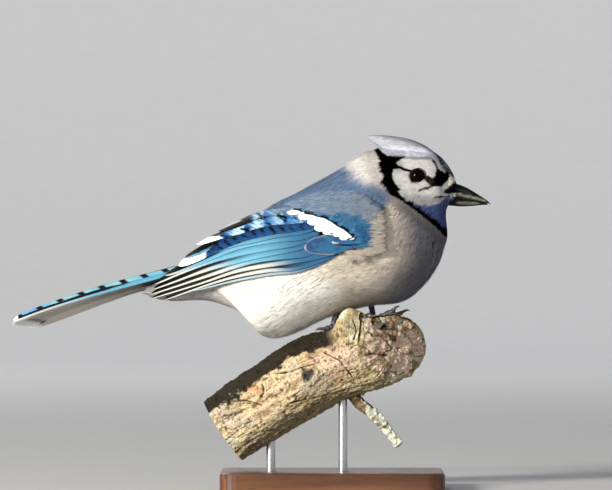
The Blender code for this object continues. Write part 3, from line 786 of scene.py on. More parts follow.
def spread(chart, p_ends, q_ends, size, overlap, keep):
    """Roots whose density is overlap / (2 x length x half width). An even sequence in the unit square
    is pushed through the running sums of that density, first along p, then across."""
    p, q = np.linspace(*p_ends, SPREAD_GRID), np.linspace(*q_ends, SPREAD_GRID)
    pp, qq = np.meshgrid(p, q, indexing="ij")
    area = np.linalg.norm(np.cross(*slopes(chart, pp, qq)), axis=-1)
    length, half = size(pp, qq)
    dense = area / (2 * length * half) * keep(pp, qq, chart(pp, qq, 0.0))
    count = int(overlap * dense.sum() * (p[1] - p[0]) * (q[1] - q[0]))
    a, b = ((0.5 + share * np.arange(count)) % 1 for share in EVEN_SHARES)
    rows = np.concatenate([[0], np.cumsum(dense.sum(1)[1:] + dense.sum(1)[:-1])])
    at_p = np.interp(a, rows / rows[-1], p)
    sums = np.concatenate([np.zeros((len(p), 1)), np.cumsum(dense[:, 1:] + dense[:, :-1], axis=1)], axis=1)
    place = (at_p - p[0]) / (p[1] - p[0])
    low = np.clip(place.astype(int), 0, len(p) - 2)
    share = (place - low)[:, None]
    reached = sums[low] * (1 - share) + sums[low + 1] * share
    wanted = b * reached[:, -1]
    cell = np.clip((reached < wanted[:, None]).sum(1) - 1, 0, len(q) - 2)
    pick = np.arange(count)
    start, end = reached[pick, cell], reached[pick, cell + 1]
    at_q = q[cell] + (q[1] - q[0]) * np.clip((wanted - start) / np.maximum(end - start, 1e-12), 0, 1)
    return at_p, at_q, np.stack([a, b], -1)


def steady(*values):
    """A size or lift that is the same all over a chart: one value, or a few."""
    def give(p, q):
        filled = [np.full(np.shape(p), value) for value in values]
        return filled if len(filled) > 1 else filled[0]
    return give


# %% One fan of barbs at each root
PATCH = 0.003
BARB_SHADE = np.array([0.74, 0.74, 0.94, 0.94, 1.05])
BARB_UNEVEN, TUFT_UNEVEN = 0.07, 0.08


def barbed(chart, p, q, length, half, lift, barbs, turn, sink, ragged):
    """Barb c, -1 to 1, runs to length (1 - 0.38 c^2), and spreads from 0.35 to 0.95 of the half width.
    It rises to 0.78 of the lift by its middle, then lies down. The fan is turned in the surface.
    Gives each barb's five points, and their shares along and across the tuft."""
    count = len(p)
    along, across = slopes(chart, p, q)
    size_p = np.linalg.norm(along, axis=-1)
    slant = (along * across).sum(-1) / size_p
    size_q = np.sqrt(np.maximum((across**2).sum(-1) - slant**2, 1e-9))
    c = np.linspace(-1, 1, barbs)[None, :] + rng.uniform(-0.5, 0.5, (count, barbs)) / barbs
    reach = (1 - 0.38 * c**2) * (1 + ragged * rng.uniform(-1, 1, (count, barbs)))
    width = 1.15 / barbs
    share = np.stack([0 * c, 0 * c, 0.5 * reach, 0.5 * reach, reach], -1)
    root, middle = 0.35 * c, 0.8 * c
    out = np.stack([root - 0.5 * width, root + 0.5 * width, middle - width, middle + width, 0.95 * c], -1)
    rise = np.stack([0 * c, 0 * c, 0.78 - 0.2 * c**2, 0.78 - 0.2 * c**2, 1 - 0.25 * c**2], -1)
    rise = rise + ragged * rng.uniform(-1, 1, (count, barbs, 1)) * (rise > 0)
    a, b = share * length[:, None, None], out * half[:, None, None]
    cos, sin = np.cos(turn)[:, None, None], np.sin(turn)[:, None, None]
    a, b = a * cos - b * sin, a * sin + b * cos
    step_q = b / size_q[:, None, None]
    step_p = (a - step_q * slant[:, None, None]) / size_p[:, None, None]
    height = rise * lift[:, None, None] - sink * (rise == 0)
    return chart(p[:, None, None] + step_p, q[:, None, None] + step_q, height), share, out


def coat(name, chart, p_ends, q_ends, size, lift, barbs, overlap, colour, keep, turn=0.0, loose=0.12,
         wear=lambda verts: verts, replaced=(), sink=0.3, ragged=0.1):
    """A piece of coat. The colour is asked for each barb, between its middle and its tip, with the
    tuft's own chance."""
    p, q, patch = spread(chart, p_ends, q_ends, size, overlap, keep)
    length, half = size(p, q)
    heading = turn + loose * rng.uniform(-1, 1, len(p))
    verts, share, out = barbed(chart, p, q, length, half, lift(p, q), barbs, heading, sink, ragged)
    verts = wear(verts)
    shown = 0.6 * verts[..., 4, :] + 0.2 * (verts[..., 2, :] + verts[..., 3, :])
    tints = colour(shown, rng.uniform(0, 1, (len(p), 1)))
    uneven = 1 + BARB_UNEVEN * rng.uniform(-1, 1, (len(p), barbs, 1))
    uneven = uneven * (1 + TUFT_UNEVEN * rng.uniform(-1, 1, (len(p), 1, 1)))
    tints = tints[..., None, :] * (BARB_SHADE * uneven)[..., None]
    places = 0.01 + 0.98 * patch[:, None, None, :] + np.stack([share - 0.5, out * 0.5], -1) * PATCH
    flipped = (np.cross(*slopes(chart, p, q)) * (chart(p, q, 1.0) - chart(p, q, 0.0))).sum() < 0
    quad, end = ([1, 0, 2, 3], [3, 2, 4]) if flipped else ([0, 1, 3, 2], [2, 3, 4])
    first = 5 * np.arange(len(p) * barbs)[:, None]
    loops = np.concatenate([(first + quad).ravel(), (first + end).ravel()])
    starts = np.concatenate([4 * np.arange(len(first)), 4 * len(first) + 3 * np.arange(len(first))])
    make_mesh(name, verts, loops, starts, coat_finish, replaced, tints, {"OFBake": places})
    print(f"{name}: {len(p)} tufts, {3 * len(first)} triangles")


# %% [markdown]
# ## The coat of head and body
#
# The coat is laid in pieces, from the bill backwards: the shortest, finest tufts round the eye and
# bill, longer ones on the neck, and long soft ones on the belly. Tufts that would stand in the eye
# are pushed off it. Under the folded wings nothing is seen, so nothing grows there, but the tufts
# just ahead of a wing and above it are lifted, because on the bird they lie over its edge.

# %% The eye's opening and the wing's outline
EYE_SIDE = 8.0
LID_NEAR, LID_FAR = OPENING + 0.4, OPENING + 0.9


def off_the_eye(verts):
    """Points nearer to the eye's axis than the lid's rim are moved out, to just beyond it."""
    spoke = off_eye_axis(verts)
    r = np.linalg.norm(spoke, axis=-1)
    near = (r < LID_FAR) & (np.abs(verts[..., 1]) > EYE_SIDE)
    wanted = LID_NEAR + (LID_FAR - LID_NEAR) * (r / LID_FAR) ** 3
    moved = np.where(near, wanted / np.maximum(r, 1e-6), 1)[..., None] * spoke + EYE_CENTRE[[0, 2]]
    return np.stack([moved[..., 0], verts[..., 1], moved[..., 1]], -1)


WING_OUTLINE = np.vstack([
    spline(WING_UPPER, np.linspace(0, 7, 40)),
    spline(WING_LOWER, np.linspace(7, 0, 40)),
])


def under_wing(points):
    """How deep a point lies inside the wing's outline as seen from the side, negative outside."""
    return inside(points[..., (0, 2)], WING_OUTLINE)


def coat_size(u, v):
    """From the table, and less than half of it near the necklace and the throat band, so that their
    edges stay clean."""
    _, length, half = table(COAT, u)
    seen = hide(u, v)[..., (0, 2)]
    far = soft(np.minimum(away(seen, THROAT_BAND), np.abs(inside(seen, NECKLACE))), 1.5, 5.0)
    near = (u < 9) * (1 - far)
    return length * (1 - 0.6 * near), half * (1 - 0.5 * near)


def coat_lift(u, v):
    """The coat's depth, and more where feathers lie over the wing's front and upper edge."""
    over_edge = soft(under_wing(hide(u, v)), -9, -3) * (u > 6) * (np.cos(v) > -0.45)
    return table(COAT, u)[0] + 1.9 * over_edge


def grows(u, v, points):
    """Feathers grow round the eye and, but for a border, not under the wing."""
    r = np.linalg.norm(off_eye_axis(points), axis=-1)
    off_eye = (r > OPENING) | (np.abs(points[..., 1]) < EYE_SIDE)
    return off_eye & (under_wing(points) < np.where(points[..., 2] > 120, 2.0, 5.0))


# %% Lay the coat
ROUND, ABOVE, BELOW = (0.0, 2 * np.pi), (-0.5 * np.pi, 0.5 * np.pi), (0.5 * np.pi, 1.5 * np.pi)
for part, ends, turns, barbs, overlap, loose, ragged in (
    ("face", (0.25, 3.0), ROUND, 7, 9.0, 0.15, 0.1),
    ("cheek", (3.0, 5.2), ROUND, 7, 10.0, 0.15, 0.1),
    ("neck", (5.2, 8.0), ROUND, 7, 9.0, 0.12, 0.1),
    ("breast", (8.0, 12.0), BELOW, 11, 11.0, 0.18, 0.14),
    ("back", (8.0, 14.0), ABOVE, 15, 10.0, 0.12, 0.1),
    ("belly", (12.0, 17.4), BELOW, 15, 10.0, 0.22, 0.16),
    ("rump", (14.0, 17.4), ABOVE, 15, 8.0, 0.12, 0.1),
):
    coat(f"coat_{part}", hide, ends, turns, coat_size, coat_lift, barbs, overlap, plumage, grows,
         loose=loose, wear=off_the_eye, sink=0.25, ragged=ragged)


# %% Bristles over the bill's base
def forward(p, q, rise):
    """The skin run forwards: p is minus u, and past the first section it goes on along the bill."""
    past = np.maximum(p, 0)[..., None]
    return hide(np.maximum(-p, 0), q, rise) * (1 - past * (0, 0.06, 0)) + past * (3.0, 0, -0.75)


def bristles_grow(p, q, points):
    return points[..., 0] > 0


for word, middle in (("right", 0.40 * np.pi), ("left", 1.60 * np.pi)):
    coat(f"bristles_{word}", forward, (-1.7, -0.3), (middle - 0.75, middle + 0.75), steady(4.2, 0.5),
         steady(1.5), 5, 6.0, plumage, bristles_grow, loose=0.3)

# %% [markdown]
# ## The crest
#
# The crest is a sheaf of long narrow crown feathers that is raised at the back into a point. It has
# its own surface, rings along the crest's line, and its tufts are long and thin and run to the tip.

# %% The crest's own surface
CREST = np.array([
    (60.5, 183.4, 180.0, 2.6), (52.8, 189.6, 184.0, 6.0), (43.3, 193.8, 184.0, 7.4),
    (33.9, 195.5, 184.0, 6.6), (27.5, 196.0, 188.4, 4.0), (20.3, 195.9, 194.4, 0.7),
])


def crest(p, q, rise):
    """Rings along the crest: across by half width times sin q, up from the middle by half height times
    cos q."""
    x, z_top, z_low, half = np.moveaxis(spline(CREST, p), -1, 0)
    middle, reach = (z_top + z_low) / 2, (z_top - z_low) / 2
    return np.stack([x, -(half + rise) * np.sin(q), middle + (reach + rise) * np.cos(q)], -1)


def crest_size(p, q):
    return np.interp(p, (0, 2, 4, 5), (3.5, 9.0, 8.0, 4.0)), np.interp(p, (0, 2, 5), (0.45, 0.5, 0.5))


def crest_grows(p, q, points):
    return np.ones(np.shape(p))


coat("coat_crest", crest, (0.1, 4.6), (-2.6, 2.6), crest_size, steady(0.3), 7, 12.0, plumage, crest_grows,
     loose=0.08, sink=0.8)

# %% [markdown]
# ## Quills, each a vane of its own
#
# The long feathers of wing and tail are stiff blades with a shaft, a narrow outer web and a wide
# inner one, so each is a grid along its shaft. The shaft's line is drawn flat, in the side view of
# the wing or along the tail, and the chart of that surface carries it into space. A quill's height
# above the chart and its tilt make the stack: the upper one always lies over the next below it.

# %% A vane along a line
COLUMNS = 13
NARROWING = (0.4, 0.85)
SWEEP = 0.25
VANE_THICK = 0.12
ARCH, RIDGE, RIDGE_WIDTH = 0.22, 0.14, 0.09
FRAY = 0.03


def vane(line, low, high, rise, tip, tilt=0.3, full=0.15, rows=90):
    """Across the shaft by c x web width x outline, where the outline opens by a smooth step until
    `full` and closes as sqrt(1 - t^tip). Each web has a width at the root and one at the tip.
    Height: rise along t, less tilt x c, plus a low arch and the shaft's ridge."""
    t, c = np.meshgrid(np.linspace(0, 1, rows), np.linspace(-1, 1, COLUMNS), indexing="ij")
    line = spline(line, t[:, 0] * (len(line) - 1))
    way = unit(np.gradient(line, axis=0))
    up = np.stack([way[:, 1], -way[:, 0]], -1)
    narrow = soft(t, *NARROWING)
    width = np.where(c < 0, low[0] + (low[1] - low[0]) * narrow, high[0] + (high[1] - high[0]) * narrow)
    web = width * (0.3 + 0.7 * soft(t, 0, full)) * np.sqrt(1 - t**tip) * np.abs(c)
    fray = 1 + FRAY * rng.uniform(-1, 1, t.shape) * (np.abs(c) > 0.95)
    flat = line[:, None] + up[:, None] * (np.sign(c) * web * fray)[..., None]
    flat = flat - way[:, None] * (SWEEP * web * t)[..., None]
    along = np.concatenate([[0], np.cumsum(np.linalg.norm(np.diff(line, axis=0), axis=1))])
    arch = ARCH * (1 - c * c) + RIDGE * np.exp(-((c / RIDGE_WIDTH) ** 2)) * (1 - t)
    height = rise[0] + (rise[1] - rise[0]) * t - tilt * c + arch
    return flat, height, t, c, np.broadcast_to(along[:, None], t.shape), np.sign(c) * web


def quills(name, chart, feathers, replaced=(), flip=False):
    """Joins vanes into a piece. A feather is a vane's values and a function that paints it from t, c,
    the distance along and the place in the chart. Each vane has a band of its own in the map for
    baking."""
    verts, tints, webs, bakes = [], [], [], []
    for index, (shape, paint) in enumerate(feathers):
        flat, height, t, c, along, web = vane(**shape)
        verts.append(chart(flat[..., 0], flat[..., 1], height).reshape(-1, 3))
        tints.append(np.broadcast_to(paint(t, c, along, flat), (*t.shape, 3)).reshape(-1, 3))
        webs.append(np.stack([web, along], -1).reshape(-1, 2))
        band = (index + 0.5 + 0.42 * c) / len(feathers)
        bakes.append(np.stack([0.01 + 0.98 * t, band], -1).reshape(-1, 2))
    quads = grid_quads(*t.shape)
    if flip:
        quads = quads[:, ::-1]
    loops = np.concatenate([quads + t.size * k for k in range(len(feathers))])
    maps = {"OFBake": np.concatenate(bakes), "vane": np.concatenate(webs)}
    make_mesh(name, np.concatenate(verts), loops, 4 * np.arange(len(loops)), quill_finish,
              replaced, np.concatenate(tints), maps, VANE_THICK)
    print(f"{name}: {len(feathers)} quills, {4 * len(loops)} triangles")


def barred(along, c, pitch, width, slant, start):
    """1 on a bar and 0 between: the place within a pitch, slanted back by the distance from the shaft."""
    place = ((along - start + slant * np.abs(c)) / pitch) % 1
    return soft(width / 2 - np.abs(place - 0.5), -0.05, 0.05)


# %% [markdown]
# ## The folded wing
#
# Nine flight feathers show below as a fan of strips, each a blue outer web over the black inner
# web of the next. Above them lie three tertials, the two lower ones with white tips, the greater
# coverts whose white tips make the bar, and a broad rounded covert over the wrist with the alula on
# it. The lower edge of each flight feather is read off the photograph, and its shaft lies one web's
# width above.

# %% Lines of the wing's feathers, in the photograph's pixels
# Each flight feather: its lower edge, its outer web's width at root and tip, and where it turns pale
FLIGHT = [
    (((324, 230), (290, 233), (262, 238), (238, 243.5), (214, 252), (188, 264)), 3.4, 2.4, 0.93),
    (((320, 234.5), (283.5, 238.6), (258, 244.2), (235.7, 249), (211.7, 257), (180, 270.5)),
     3.3, 1.6, 0.88),
    (((320, 240.5), (275.5, 244.2), (242, 250.6), (216.5, 260.2), (184.6, 272.9), (168, 279.5)),
     3.3, 1.4, 0.72),
    (((320, 244), (267.6, 252.2), (235.7, 258.6), (207, 266.5), (179.9, 276.9), (157, 288)),
     3.6, 1.3, 0.54),
    (((320, 248), (270.7, 257), (243.6, 263.3), (211.7, 271.3), (184.6, 280.5), (155, 292.5)),
     3.2, 1.2, 0.46),
    (((320, 257.3), (280.3, 260.2), (251.6, 264.9), (219.7, 274.5), (187.8, 284.5), (152.5, 297)),
     3.0, 1.2, 0.40),
    (((345.7, 253), (307.4, 261.7), (275.5, 266.5), (238.9, 272.9), (203.8, 284), (152.8, 300.5)),
     2.9, 1.1, 0.3),
    (((342.5, 254.6), (299.4, 269.7), (270.7, 272.1), (238.9, 277.7), (207, 286.5), (166, 301.5)),
     2.4, 1.1, 0.24),
    (((339.3, 257), (300, 272), (273.9, 275), (242, 280.5), (220, 285.5), (194, 292.5)), 1.8, 1.2, 0.1),
]
# Each tertial: its shaft, its lower and upper web at root and tip, and where its pale tip starts
TERTIALS = [
    (((310, 219), (292, 215.5), (274, 214.5), (257, 218.5), (241, 225.5), (221, 233.5)),
     (2.5, 2.5), (1.8, 1.8), 0.72),
    (((314, 223), (287, 220), (262, 223.5), (239, 231.5), (218, 238.5), (199, 246.5)),
     (3.9, 2.4), (3.0, 1.7), 0.80),
    (((318, 227), (287, 228), (257, 233), (230, 242), (206, 253), (180, 267.5)),
     (3.7, 3.7), (3.4, 3.4), 0.78),
]
BAR_TIPS = seen_at((289, 216.5), (300, 221), (308.5, 225.5), (315, 231), (323, 234.5), (331, 235.5),
                   (339, 239), (349, 240))
WRIST = seen_at((352, 246), (340, 245.5), (322, 246), (304.5, 248.5))
ALULA = seen_at((372, 241.2), (360, 241.5), (347, 242), (331.5, 243.2))

# The white bar across the coverts, the ink spots of the tertials, and where their light patches end; these
# patches are partly the feathers' own pale blue and partly painted sheen
BAR = seen_at((289.3, 215.6), (294, 213.8), (300, 214.2), (306, 217.4), (313.8, 218.3), (318.6, 219.8),
              (325, 221), (331.3, 224.2), (337.7, 228.6), (342.5, 230.8), (347.3, 234.3), (351.3, 238),
              (344, 240.2), (338.5, 238.3), (333.7, 234.3), (325, 233.8), (317, 231.1), (312.2, 226.3),
              (304.2, 222.3), (297.8, 220.7))
INK_MARKS = [seen_at(*line) for line in (
    ((260, 216), (264, 219.5), (262.5, 221), (268, 222.5), (266, 225), (271.5, 227)),
    ((279, 212), (283.5, 216.5), (281.5, 218), (287, 221), (286, 224)),
    ((241, 226), (246, 229), (244, 231), (250, 231.5), (249, 235)),
    ((220, 233), (224, 235), (222, 238), (229, 239), (235, 241)),
    ((203, 245), (208, 247), (214, 250)),
    ((296, 220), (300, 223), (299, 225), (303, 227)),
)]
LIGHT_ENDS = seen_at((150, 0), (205, 0), (223, 0), (246, 0), (266, 0), (285, 0), (303, 0), (360, 0))[:, 0]

# Colours of the quills
AZURE, TEAL, PALE_TEAL, NAVY = rgb(25, 62, 102), rgb(74, 125, 148), rgb(106, 156, 178), rgb(26, 48, 86)
# GLARE is the pale blue of the tertials' light patches: partly their own colour, partly painted sheen
INK, CREAM, WHITE, GLARE = rgb(11, 11, 14), rgb(184, 180, 168), rgb(238, 238, 235), rgb(176, 210, 226)
# The bars of the first two flight feathers and the spots of the lowest tertial: one every so many mm
BAR_PITCH = 5.3


# %% How each kind of quill is painted
def flight_paint(k, pale_from):
    """Blue outer web, deeper in front, with an ink line along its lower edge that is painted shadow of that
    edge together with the next feather's dark inner web. Towards the tip it turns cream, and the inner web
    turns to ink."""
    def paint(t, c, along, flat):
        x = flat[..., 0]
        blue = painted(
            TEAL,
            (AZURE, np.maximum(0.75 * soft(x, -42, -12), 0.6 * (k < 2))),
            (PALE_TEAL, 0.55 * soft(-c, 0.1, 0.6) * soft(-x, 22, 46)),
        )
        if k < 2:
            bars = barred(along, c, BAR_PITCH, 0.3, 1.2, 2.0 * k)
            blue = mixed(blue, INK, 0.8 * bars * soft(c, -0.8 + 0.4 * k, -0.1))
        pale = soft(t, pale_from - 0.05, pale_from + 0.25) * (0.9 if k < 8 else 0.4)
        dark_from = min(pale_from, 0.5)
        return painted(
            blue,
            (CREAM, pale),
            # the ink line along the lower edge: painted shadow of the edge, and the dark inner web of the
            # next feather
            (INK, soft(-c, 0.84, 0.94) * (0.85 - 0.35 * pale)),
            (INK, soft(c, -0.26, -0.1) * soft(t, dark_from - 0.2, dark_from + 0.1)),
        )
    return paint


def tertial_paint(k, white_from):
    """Each feather is blue that turns pale towards the next ink spot, partly its own colour and partly a
    painted sheen. The lowest is deep blue with close spots, the uppermost ink with a cream upper edge, and
    the others end in ink and then white."""
    def paint(t, c, along, flat):
        x, z = flat[..., 0], flat[..., 1]
        ragged = rough(np.stack([2.5 * z + x, z, 0 * t], -1), 1.6, 3)
        if k == 2:
            spots = barred(along + 1.2 * ragged, c, BAR_PITCH, 0.42, 1.4, 1.5)
            web = painted(
                AZURE,
                (NAVY, soft(ragged + 0.5 * c, -0.5, 0.6)),
                (INK, spots * soft(0.9 + ragged - np.abs(c), 0, 0.4)),
            )
        else:
            patch = np.clip(np.searchsorted(LIGHT_ENDS, x) - 1, 0, len(LIGHT_ENDS) - 2)
            share = (x - LIGHT_ENDS[patch]) / (LIGHT_ENDS[patch + 1] - LIGHT_ENDS[patch])
            # the pale patches: partly the feather's own colour, partly painted sheen
            light = (0.45 + 0.55 * soft(-x, 36, 44)) * soft(share + 0.45 * ragged, 0.2, 0.9)
            near = np.min([away(flat, line) for line in INK_MARKS], axis=0)
            spots = soft(0.9 + 1.6 * ragged - near, -0.2, 0.5)
            web = painted(rgb(42, 92, 138), (GLARE, light), (INK, spots))
        edge = white_from + (0.06 if k < 2 else -0.03) * c
        end = soft(t, edge, edge + 0.025)
        return painted(
            web,
            (INK, 0.75 * soft(np.abs(c), 0.84, 0.96) * (k < 2)),
            (INK, soft(t, white_from - 0.12, white_from - 0.04) * (soft(c, -0.6, 0.3) if k else 1)),
            (WHITE if k else CREAM, end if k else end * soft(c, 0.3, 0.5)),
        )
    return paint


def covert_paint(t, c, along, flat):
    """Blue, then an ink mark, and white where the feather lies on the bar or near its own tip."""
    on_bar = inside(flat, BAR)
    depth = np.maximum(on_bar, np.minimum((t - 0.8) * 10, on_bar + 1.2))
    return painted(
        rgb(40, 84, 124),
        (rgb(64, 116, 148), 0.7 * soft(np.abs(c), 0.3, 1.0)),
        (INK, soft(depth + 2.4 - 1.6 * np.abs(c), 0, 0.5)),
        (WHITE, soft(depth, -0.12, 0.12)),
    )


def wrist_paint(deep, blue, edged, under):
    """Cloudy blue, deeper towards the end, with a thin pale rim, and an ink line under it."""
    def paint(t, c, along, flat):
        cloud = rough(np.stack([flat[..., 0], 2 * flat[..., 1], 0 * t], -1), 4.0, 3)
        outward = np.maximum(np.abs(c) * soft(t, 0.35, 0.5) - 0.25 * under, (t - 0.5) * 2)
        return painted(
            blue,
            (deep, soft(t + 0.5 * cloud, 0.3, 0.8)),
            (CREAM, edged * soft(outward, 0.9 - 0.24 * under * (c < 0), 0.96)),
            (INK, under * soft(-c, 0.72, 0.84) * soft(0.97 - t, 0, 0.02)),
        )
    return paint


# %% Flight feathers, tertials and coverts
def flight_feathers():
    """The shaft is the lower edge moved up by the outer web's width, which shrinks as the web does."""
    made = []
    for k, (edge, root, end, pale_from) in enumerate(FLIGHT):
        place = np.linspace(0, 1, 13)
        edge = spline(seen_at(*edge), place * (len(edge) - 1))
        way = unit(np.gradient(edge, axis=0))
        width = root + (end - root) * soft(place, *NARROWING)
        shaft = edge + np.stack([way[:, 1], -way[:, 0]], -1) * width[:, None]
        top = 1.35 - 0.1 * k
        shape = dict(line=shaft, low=(root, end), high=(4.0, 3.0), rise=(top, top + 0.2), tip=9, full=0.1)
        made.append((shape, flight_paint(k, pale_from)))
    return made[::-1]


def upper_feathers():
    """Tertials, the wrist's covert, the greater coverts and the alula, in the order they overlap."""
    made = []
    for k, (line, low, high, white_from) in enumerate(TERTIALS):
        rise = (2.3 - 0.25 * k, 2.0 - 0.25 * k)
        shape = dict(line=seen_at(*line), low=low, high=high, rise=rise, tip=9, full=0.2)
        made.append((shape, tertial_paint(k, white_from)))
    shape = dict(line=WRIST, low=(5.6, 5.6), high=(6.0, 6.0), rise=(1.9, 2.1), tip=4, full=0.6)
    made.append((shape, wrist_paint(rgb(36, 60, 98), rgb(44, 86, 116), 0.5, 0.0)))
    for j, tip in enumerate(BAR_TIPS):
        base = tip + np.array([16.5 - 0.4 * j, 6.6 - 0.5 * j])
        line = np.array([base, base + (tip - base) * 0.5 + (0, 0.6), tip])
        shape = dict(line=line, low=(3.1, 3.0), high=(3.1, 3.0), rise=(2.3, 3.0 - 0.05 * j), tip=9)
        made.append((shape, covert_paint))
    shape = dict(line=ALULA, low=(2.3, 2.3), high=(1.7, 1.7), rise=(2.2, 3.2), tip=5, full=0.5)
    made.append((shape, wrist_paint(rgb(46, 76, 116), rgb(44, 90, 130), 0.9, 1.0)))
    return made


# %% The small feathers over the wing, and both wings
LESSER = seen_at((316, 214), (330, 210), (350, 207.5), (368, 208), (380, 217), (384, 232), (378, 246),
                 (360, 244), (348, 235), (334, 225))
SCAPULARS = seen_at((283, 212), (300, 202), (320, 194), (345, 191), (368, 194), (385, 206), (380, 219),
                    (366, 213), (350, 211), (330, 213), (312, 214), (292, 212))
FRINGE = seen_at((372, 200), (384, 203), (389, 225), (388, 250), (374, 257), (354, 260), (348, 257),
                 (356, 252), (368, 250), (378, 247), (380, 236), (377, 216))
# The share of the body's colours that the fringe keeps: painted shade
FRINGE_SHADE = 0.7
COVERTS_RISE = 2.3
SIDES = (("right", -1), ("left", 1))


def lesser_colour(points, fleck):
    """Blue, each feather a little paler or deeper than the next, with a few slate ones."""
    blue = mixed(rgb(46, 88, 126), rgb(76, 124, 154), fleck)
    blue = mixed(blue, INK, 0.85 * soft(1.6 + inside(points[..., (0, 2)], BAR), 0, 0.8))
    return mixed(blue, rgb(40, 66, 108), 0.6 * soft(rough(points, 5.0), 0.25, 0.6))


def scapular_colour(points, fleck):
    """Slate blue, greyer in front, streaked by each feather's own chance."""
    grey = mixed(rgb(98, 118, 140), rgb(126, 140, 156), fleck)
    return mixed(grey, rgb(150, 152, 156), 0.6 * soft(points[..., 0], 5, 28))


def fringe_colour(points, fleck):
    """The body's colours darkened as painted shade, because these feathers lie flat in full light."""
    return plumage(points, fleck) * FRINGE_SHADE


def off_the_bar(points, outline, length, heading):
    """Inside an outline, and neither root, middle nor tip of the tuft on the white bar."""
    seen = points[..., (0, 2)]
    way = np.array((-math.cos(heading), math.sin(heading))) * length
    deepest = np.max([inside(seen + way * share, BAR) for share in (0, 0.35, 0.7, 1.0)], axis=0)
    return (inside(seen, outline) + 1.5 * rough(points, 2.0) > 0) & (deepest < -1.5)


for word, side in SIDES:
    def chart(x, z, rise, side=side):
        return wing(x, z, rise, side)

    def backward(p, q, rise, side=side):
        return wing(-p, q, np.asarray(rise) + COVERTS_RISE, side)

    node = f"wing_{word}"
    quills(f"{node}_flight", chart, flight_feathers(), (node,), flip=side > 0)
    quills(f"{node}_upper", chart, upper_feathers(), (node,), flip=side > 0)
    for part, outline, colour, length, half, lift, heading in (
        ("lesser", LESSER, lesser_colour, 4.6, 1.1, 0.7, -0.4),
        ("scapular", SCAPULARS, scapular_colour, 8.0, 1.1, 1.3, -0.3),
        ("fringe", FRINGE, fringe_colour, 7.5, 0.45, 0.9, -0.05),
    ):
        coat(f"{node}_{part}", backward, (-34, 30), (124, 168), steady(length, half), steady(lift), 7, 11.0,
             colour, lambda p, q, points: off_the_bar(points, outline, length, heading), turn=heading,
             replaced=(node,), sink=1.6, ragged=0.2)

# %% [markdown]
# ## The tail
#
# Twelve quills lie over each other, the middle pair on top. The tail is rolled so that the near
# edge is the higher, and from the side its grey underside shows, below a narrow strip of the barred
# outer web that bends over the near edge. Both faces are feathers, so both are built: blue barred
# vanes above, plain grey ones with white tips below, and the strips along both edges.

# %% The tail's chart
TAIL_ROOT, TAIL_TIP = np.array((-62.0, 0, 126.3)), np.array((-178.6, 0, 91.3))
TAIL_ROLL = math.radians(22)
TAIL_ARCH = 2.2
TAIL_BOW = 1.9
TAIL_HALF = 11.25
TAIL_LENGTH = float(np.linalg.norm(TAIL_TIP - TAIL_ROOT))
tail_axis = (TAIL_TIP - TAIL_ROOT) / TAIL_LENGTH
tail_up = np.array((tail_axis[2], 0, -tail_axis[0]))
tail_side = np.array((0.0, -1.0, 0.0))
tail_out = tail_side * math.cos(TAIL_ROLL) + tail_up * math.sin(TAIL_ROLL)
tail_lift = tail_up * math.cos(TAIL_ROLL) - tail_side * math.sin(TAIL_ROLL)


def tail(s, p, rise):
    """s along from the root, p out to the right, and up by the rise less the arch x (p / half width)^2.
    The whole is bowed up by 4 x bow x share x (1 - share) of its length."""
    share = s / TAIL_LENGTH
    bow = 4 * TAIL_BOW * share * (1 - share)
    height = np.asarray(rise) - TAIL_ARCH * (p / TAIL_HALF) ** 2
    middle = TAIL_ROOT + s[..., None] * tail_axis + bow[..., None] * tail_up
    return middle + p[..., None] * tail_out + height[..., None] * tail_lift


def tail_line(index, side, shorter):
    """A quill's shaft: from near the middle line at the root out to its place in the fan."""
    near, far = 0.7 + 0.45 * index, 1.3 + 1.45 * index
    end = TAIL_LENGTH - 1.0 - shorter
    s = np.linspace(4.0, end, 6)
    return np.stack([s, side * (near + (far - near) * (s / end) ** 1.2)], -1)


def tail_edge(side):
    """The face along one edge: s along, q down from the edge's top, and out by the rise."""
    def chart(s, q, rise):
        p = 4.4 + 7.0 * (s / TAIL_LENGTH) ** 1.1 - 3.2 * soft(s, TAIL_LENGTH - 13, TAIL_LENGTH)
        return tail(s, side * (p + np.asarray(rise)), 2.3 - q)
    return chart


# %% How the tail's vanes are painted
def rectrix_paint(index):
    """Blue, barred with ink, with a white end on all but the middle pair."""
    def paint(t, c, along, flat):
        bars = barred(along, c, 11.5 if index else 6.5, 0.24, 2.5, 2.0 * index)
        ended = index > 0
        return painted(
            rgb(52, 104, 156),
            (rgb(88, 146, 178), soft(np.abs(c), 0.2, 0.9)),
            (INK, 0.9 * bars * soft(t, 0.15, 0.3)),
            (INK, soft(0.04 - np.abs(c), 0, 0.02)),
            (INK, ended * soft(t, 0.84, 0.87)),
            (WHITE, ended * soft(t, 0.93, 0.945)),
        )
    return paint


def under_paint(pale):
    """Beige grey, darker towards the root as painted shadow of the wings above it, paler at the edges and
    the shaft, with an ink mark before the white end.
    """
    def paint(t, c, along, flat):
        return painted(
            # the dark ground towards the root is painted shadow of the wings
            rgb(110, 106, 103),
            (rgb(186, 180, 170), 0.3 + (0.3 + 0.4 * pale) * soft(t, 0.3, 0.8)),
            (rgb(206, 200, 190), 0.6 * soft(t, 0.5, 0.75)),
            (rgb(214, 206, 190), 0.6 * soft(np.abs(c), 0.8, 1.0)),
            (rgb(200, 194, 182), soft(0.05 - np.abs(c), 0, 0.03)),
            (INK, 0.9 * soft(t, 0.90, 0.92) * soft(0.55 - np.abs(c + 0.2), 0, 0.2)),
            (WHITE, soft(t, 0.935, 0.95)),
        )
    return paint


